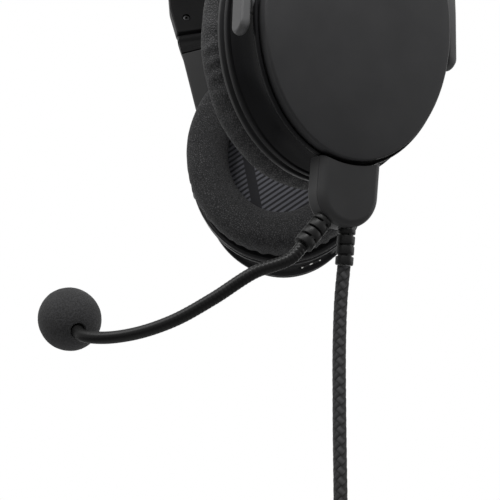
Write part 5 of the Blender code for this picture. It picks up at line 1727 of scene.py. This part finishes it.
def plug_pieces(at):
    """Moulded handle with grip rings, and the stepped pin with its insulating rings."""
    length, radius = PLUG_LENGTH, PLUG_RADIUS
    bore, seat = PLUG_PIN_RADIUS + GAP, PLUG_SEAT - PLUG_LENGTH
    profile = [
        (0.0, 0.0), (radius * 0.50, 0.0), (radius * 0.55, -0.0005), (radius * 0.60, -length * 0.16),
        (radius * 0.66, -length * 0.22), (radius * 0.84, -length * 0.29), (radius * 0.95, -length * 0.34),
        (radius * 0.96, -length * 0.40), (radius * 0.96, -length * 0.86), (radius, -length * 0.88),
        (radius, -length + 0.0006), (radius - 0.0006, -length), (bore, -length), (bore, seat), (0.0, seat),
    ]
    ring = [
        (radius * 0.90, 0.0), (radius * 0.97, -0.0002), (radius * 0.99, -0.0006), (radius * 0.97, -0.0010),
        (radius * 0.90, -0.0012),
    ]
    grips = grown(
        "grip_rings", "row", to_mesh("grip_ring", lathed(ring, 48, ring=True)), Count=8,
        Step=(0.0, 0.0, -0.0019), Turn=0.0, Finish=FINISH["rubber"],
    )
    grips.transform(Matrix.Translation((0, 0, -length * 0.44)))
    place = Matrix.Translation(at)
    mesh = joined("plug_grip", [to_mesh("handle", lathed(profile, 64)), grips], place)
    handle = show(mesh, "mic_module", ["plug_handle"], "rubber")
    pin, neck = PLUG_PIN_RADIUS, PLUG_PIN_RADIUS * 0.82
    reach = PLUG_SEAT - GAP + PLUG_PIN_LENGTH
    profile = [
        (0.0, 0.0), (pin, 0.0), (pin, -reach * 0.62), (neck, -reach * 0.65), (neck, -reach * 0.69),
        (pin, -reach * 0.72), (pin, -reach * 0.80), (neck * 0.8, -reach * 0.86), (pin * 0.9, -reach * 0.92),
        (neck * 0.8, -reach * 0.97), (neck * 0.5, -reach), (0.0, -reach),
    ]
    mesh = to_mesh("plug_tip", lathed(profile, 48), Matrix.Translation(at + Vector((0, 0, seat - GAP))))
    tip = show(mesh, "mic_module", ["plug_pin"], "plated")
    return handle, tip


# The rest of the model's nodes keep their shape and take a finish


def control_slots(shell, place):
    """Openings in the right cup for its buttons, switch, charging socket and light."""
    cutters = []

    def open_for(size, deep, corner, seat, travel=0.0):
        wide, long = size[0] + 2 * RUN, size[1] + travel + 2 * RUN
        cutters.append(slot_cutter(wide, long, deep, corner, place @ seat))

    for angle in BUTTON_ANGLES:
        open_for(BUTTON_SIZE, 8 * WALL, 0.0007, waist_place(angle, WAIST_INSET, -BUTTON_X))
    middle = waist_place(SWITCH_ANGLE, WAIST_INSET, -BUTTON_X) @ Matrix.Translation((0, SWITCH_TRAVEL / 2, 0))
    open_for(SWITCH_SIZE, 8 * WALL, 0.0007, middle, SWITCH_TRAVEL)
    foot = Matrix.Translation((-SOCKET_X, SOCKET_BACK, -oval(WAIST_INSET, CUP_UPRIGHT)[1]))
    open_for(SOCKET_SIZE, 6 * WALL, 0.0012, foot)
    open_for(LIGHT_SIZE, 4 * WALL, 0.0008, waist_place(LIGHT_ANGLE, WAIST_INSET, 0.0))
    cut(shell, cutters)


def finish_nodes():
    """Finishes for the model's own nodes that stay in sight or inside."""
    finishes = {
        "steel": ("band_spring_core", "left_slider", "right_slider", "left_fold_pin", "right_fold_pin"),
        "plated": ("left_jack_socket", "module_jack", "mic_capsule", "charging_socket"),
        "board": ("left_circuit_board", "right_circuit_board", "module_board"),
        "driver": ("left_driver", "right_driver"),
        "cell": ("battery",),
        "module": ("power_switch", "volume_up_button", "action_button", "volume_down_button"),
        "light": ("status_light",),
    }
    for finish, names in finishes.items():
        for name in names:
            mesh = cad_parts[name].data
            mesh.materials.clear()
            mesh.materials.append(FINISH[finish])


def build():
    finish_nodes()
    cord(PLACES["left"]["cup"])
    for name, side in SIDES.items():
        place = PLACES[name]
        shell = cup_shell(name, side, place["cup"])
        if name == "right":
            control_slots(shell, place["cup"])
        else:
            foot = Matrix.Translation((JACK_X, MODULE_BACK, -oval(WAIST_INSET, CUP_UPRIGHT)[1]))
            cut(shell, [round_cutter(JACK_RADIUS + RUN, 6 * WALL + JACK_LENGTH, place["cup"] @ foot)])
        cup_cap(name, side, place["cup"])
        flange(name, side, place["cup"])
        ear_cushion(name, side, place["cup"])
        scrim(name, side, place["cup"])
        pivot_discs(name, place["cup"])
        yoke(name, side, place["yoke"])
        fold_knuckle(name, side, place["arm"])
        housing(name, side, place["arm"])
    module_shells(PLACES["left"]["cup"])
    boom(PLACES["left"]["cup"])
    points, outs = arch_path()
    band_cover(points, outs)
    band_pad(points, outs)
    arm_screws()


bpy.context.scene.view_settings.view_transform = "Standard"
aim_camera()
light_studio()
lay_floor()
build()
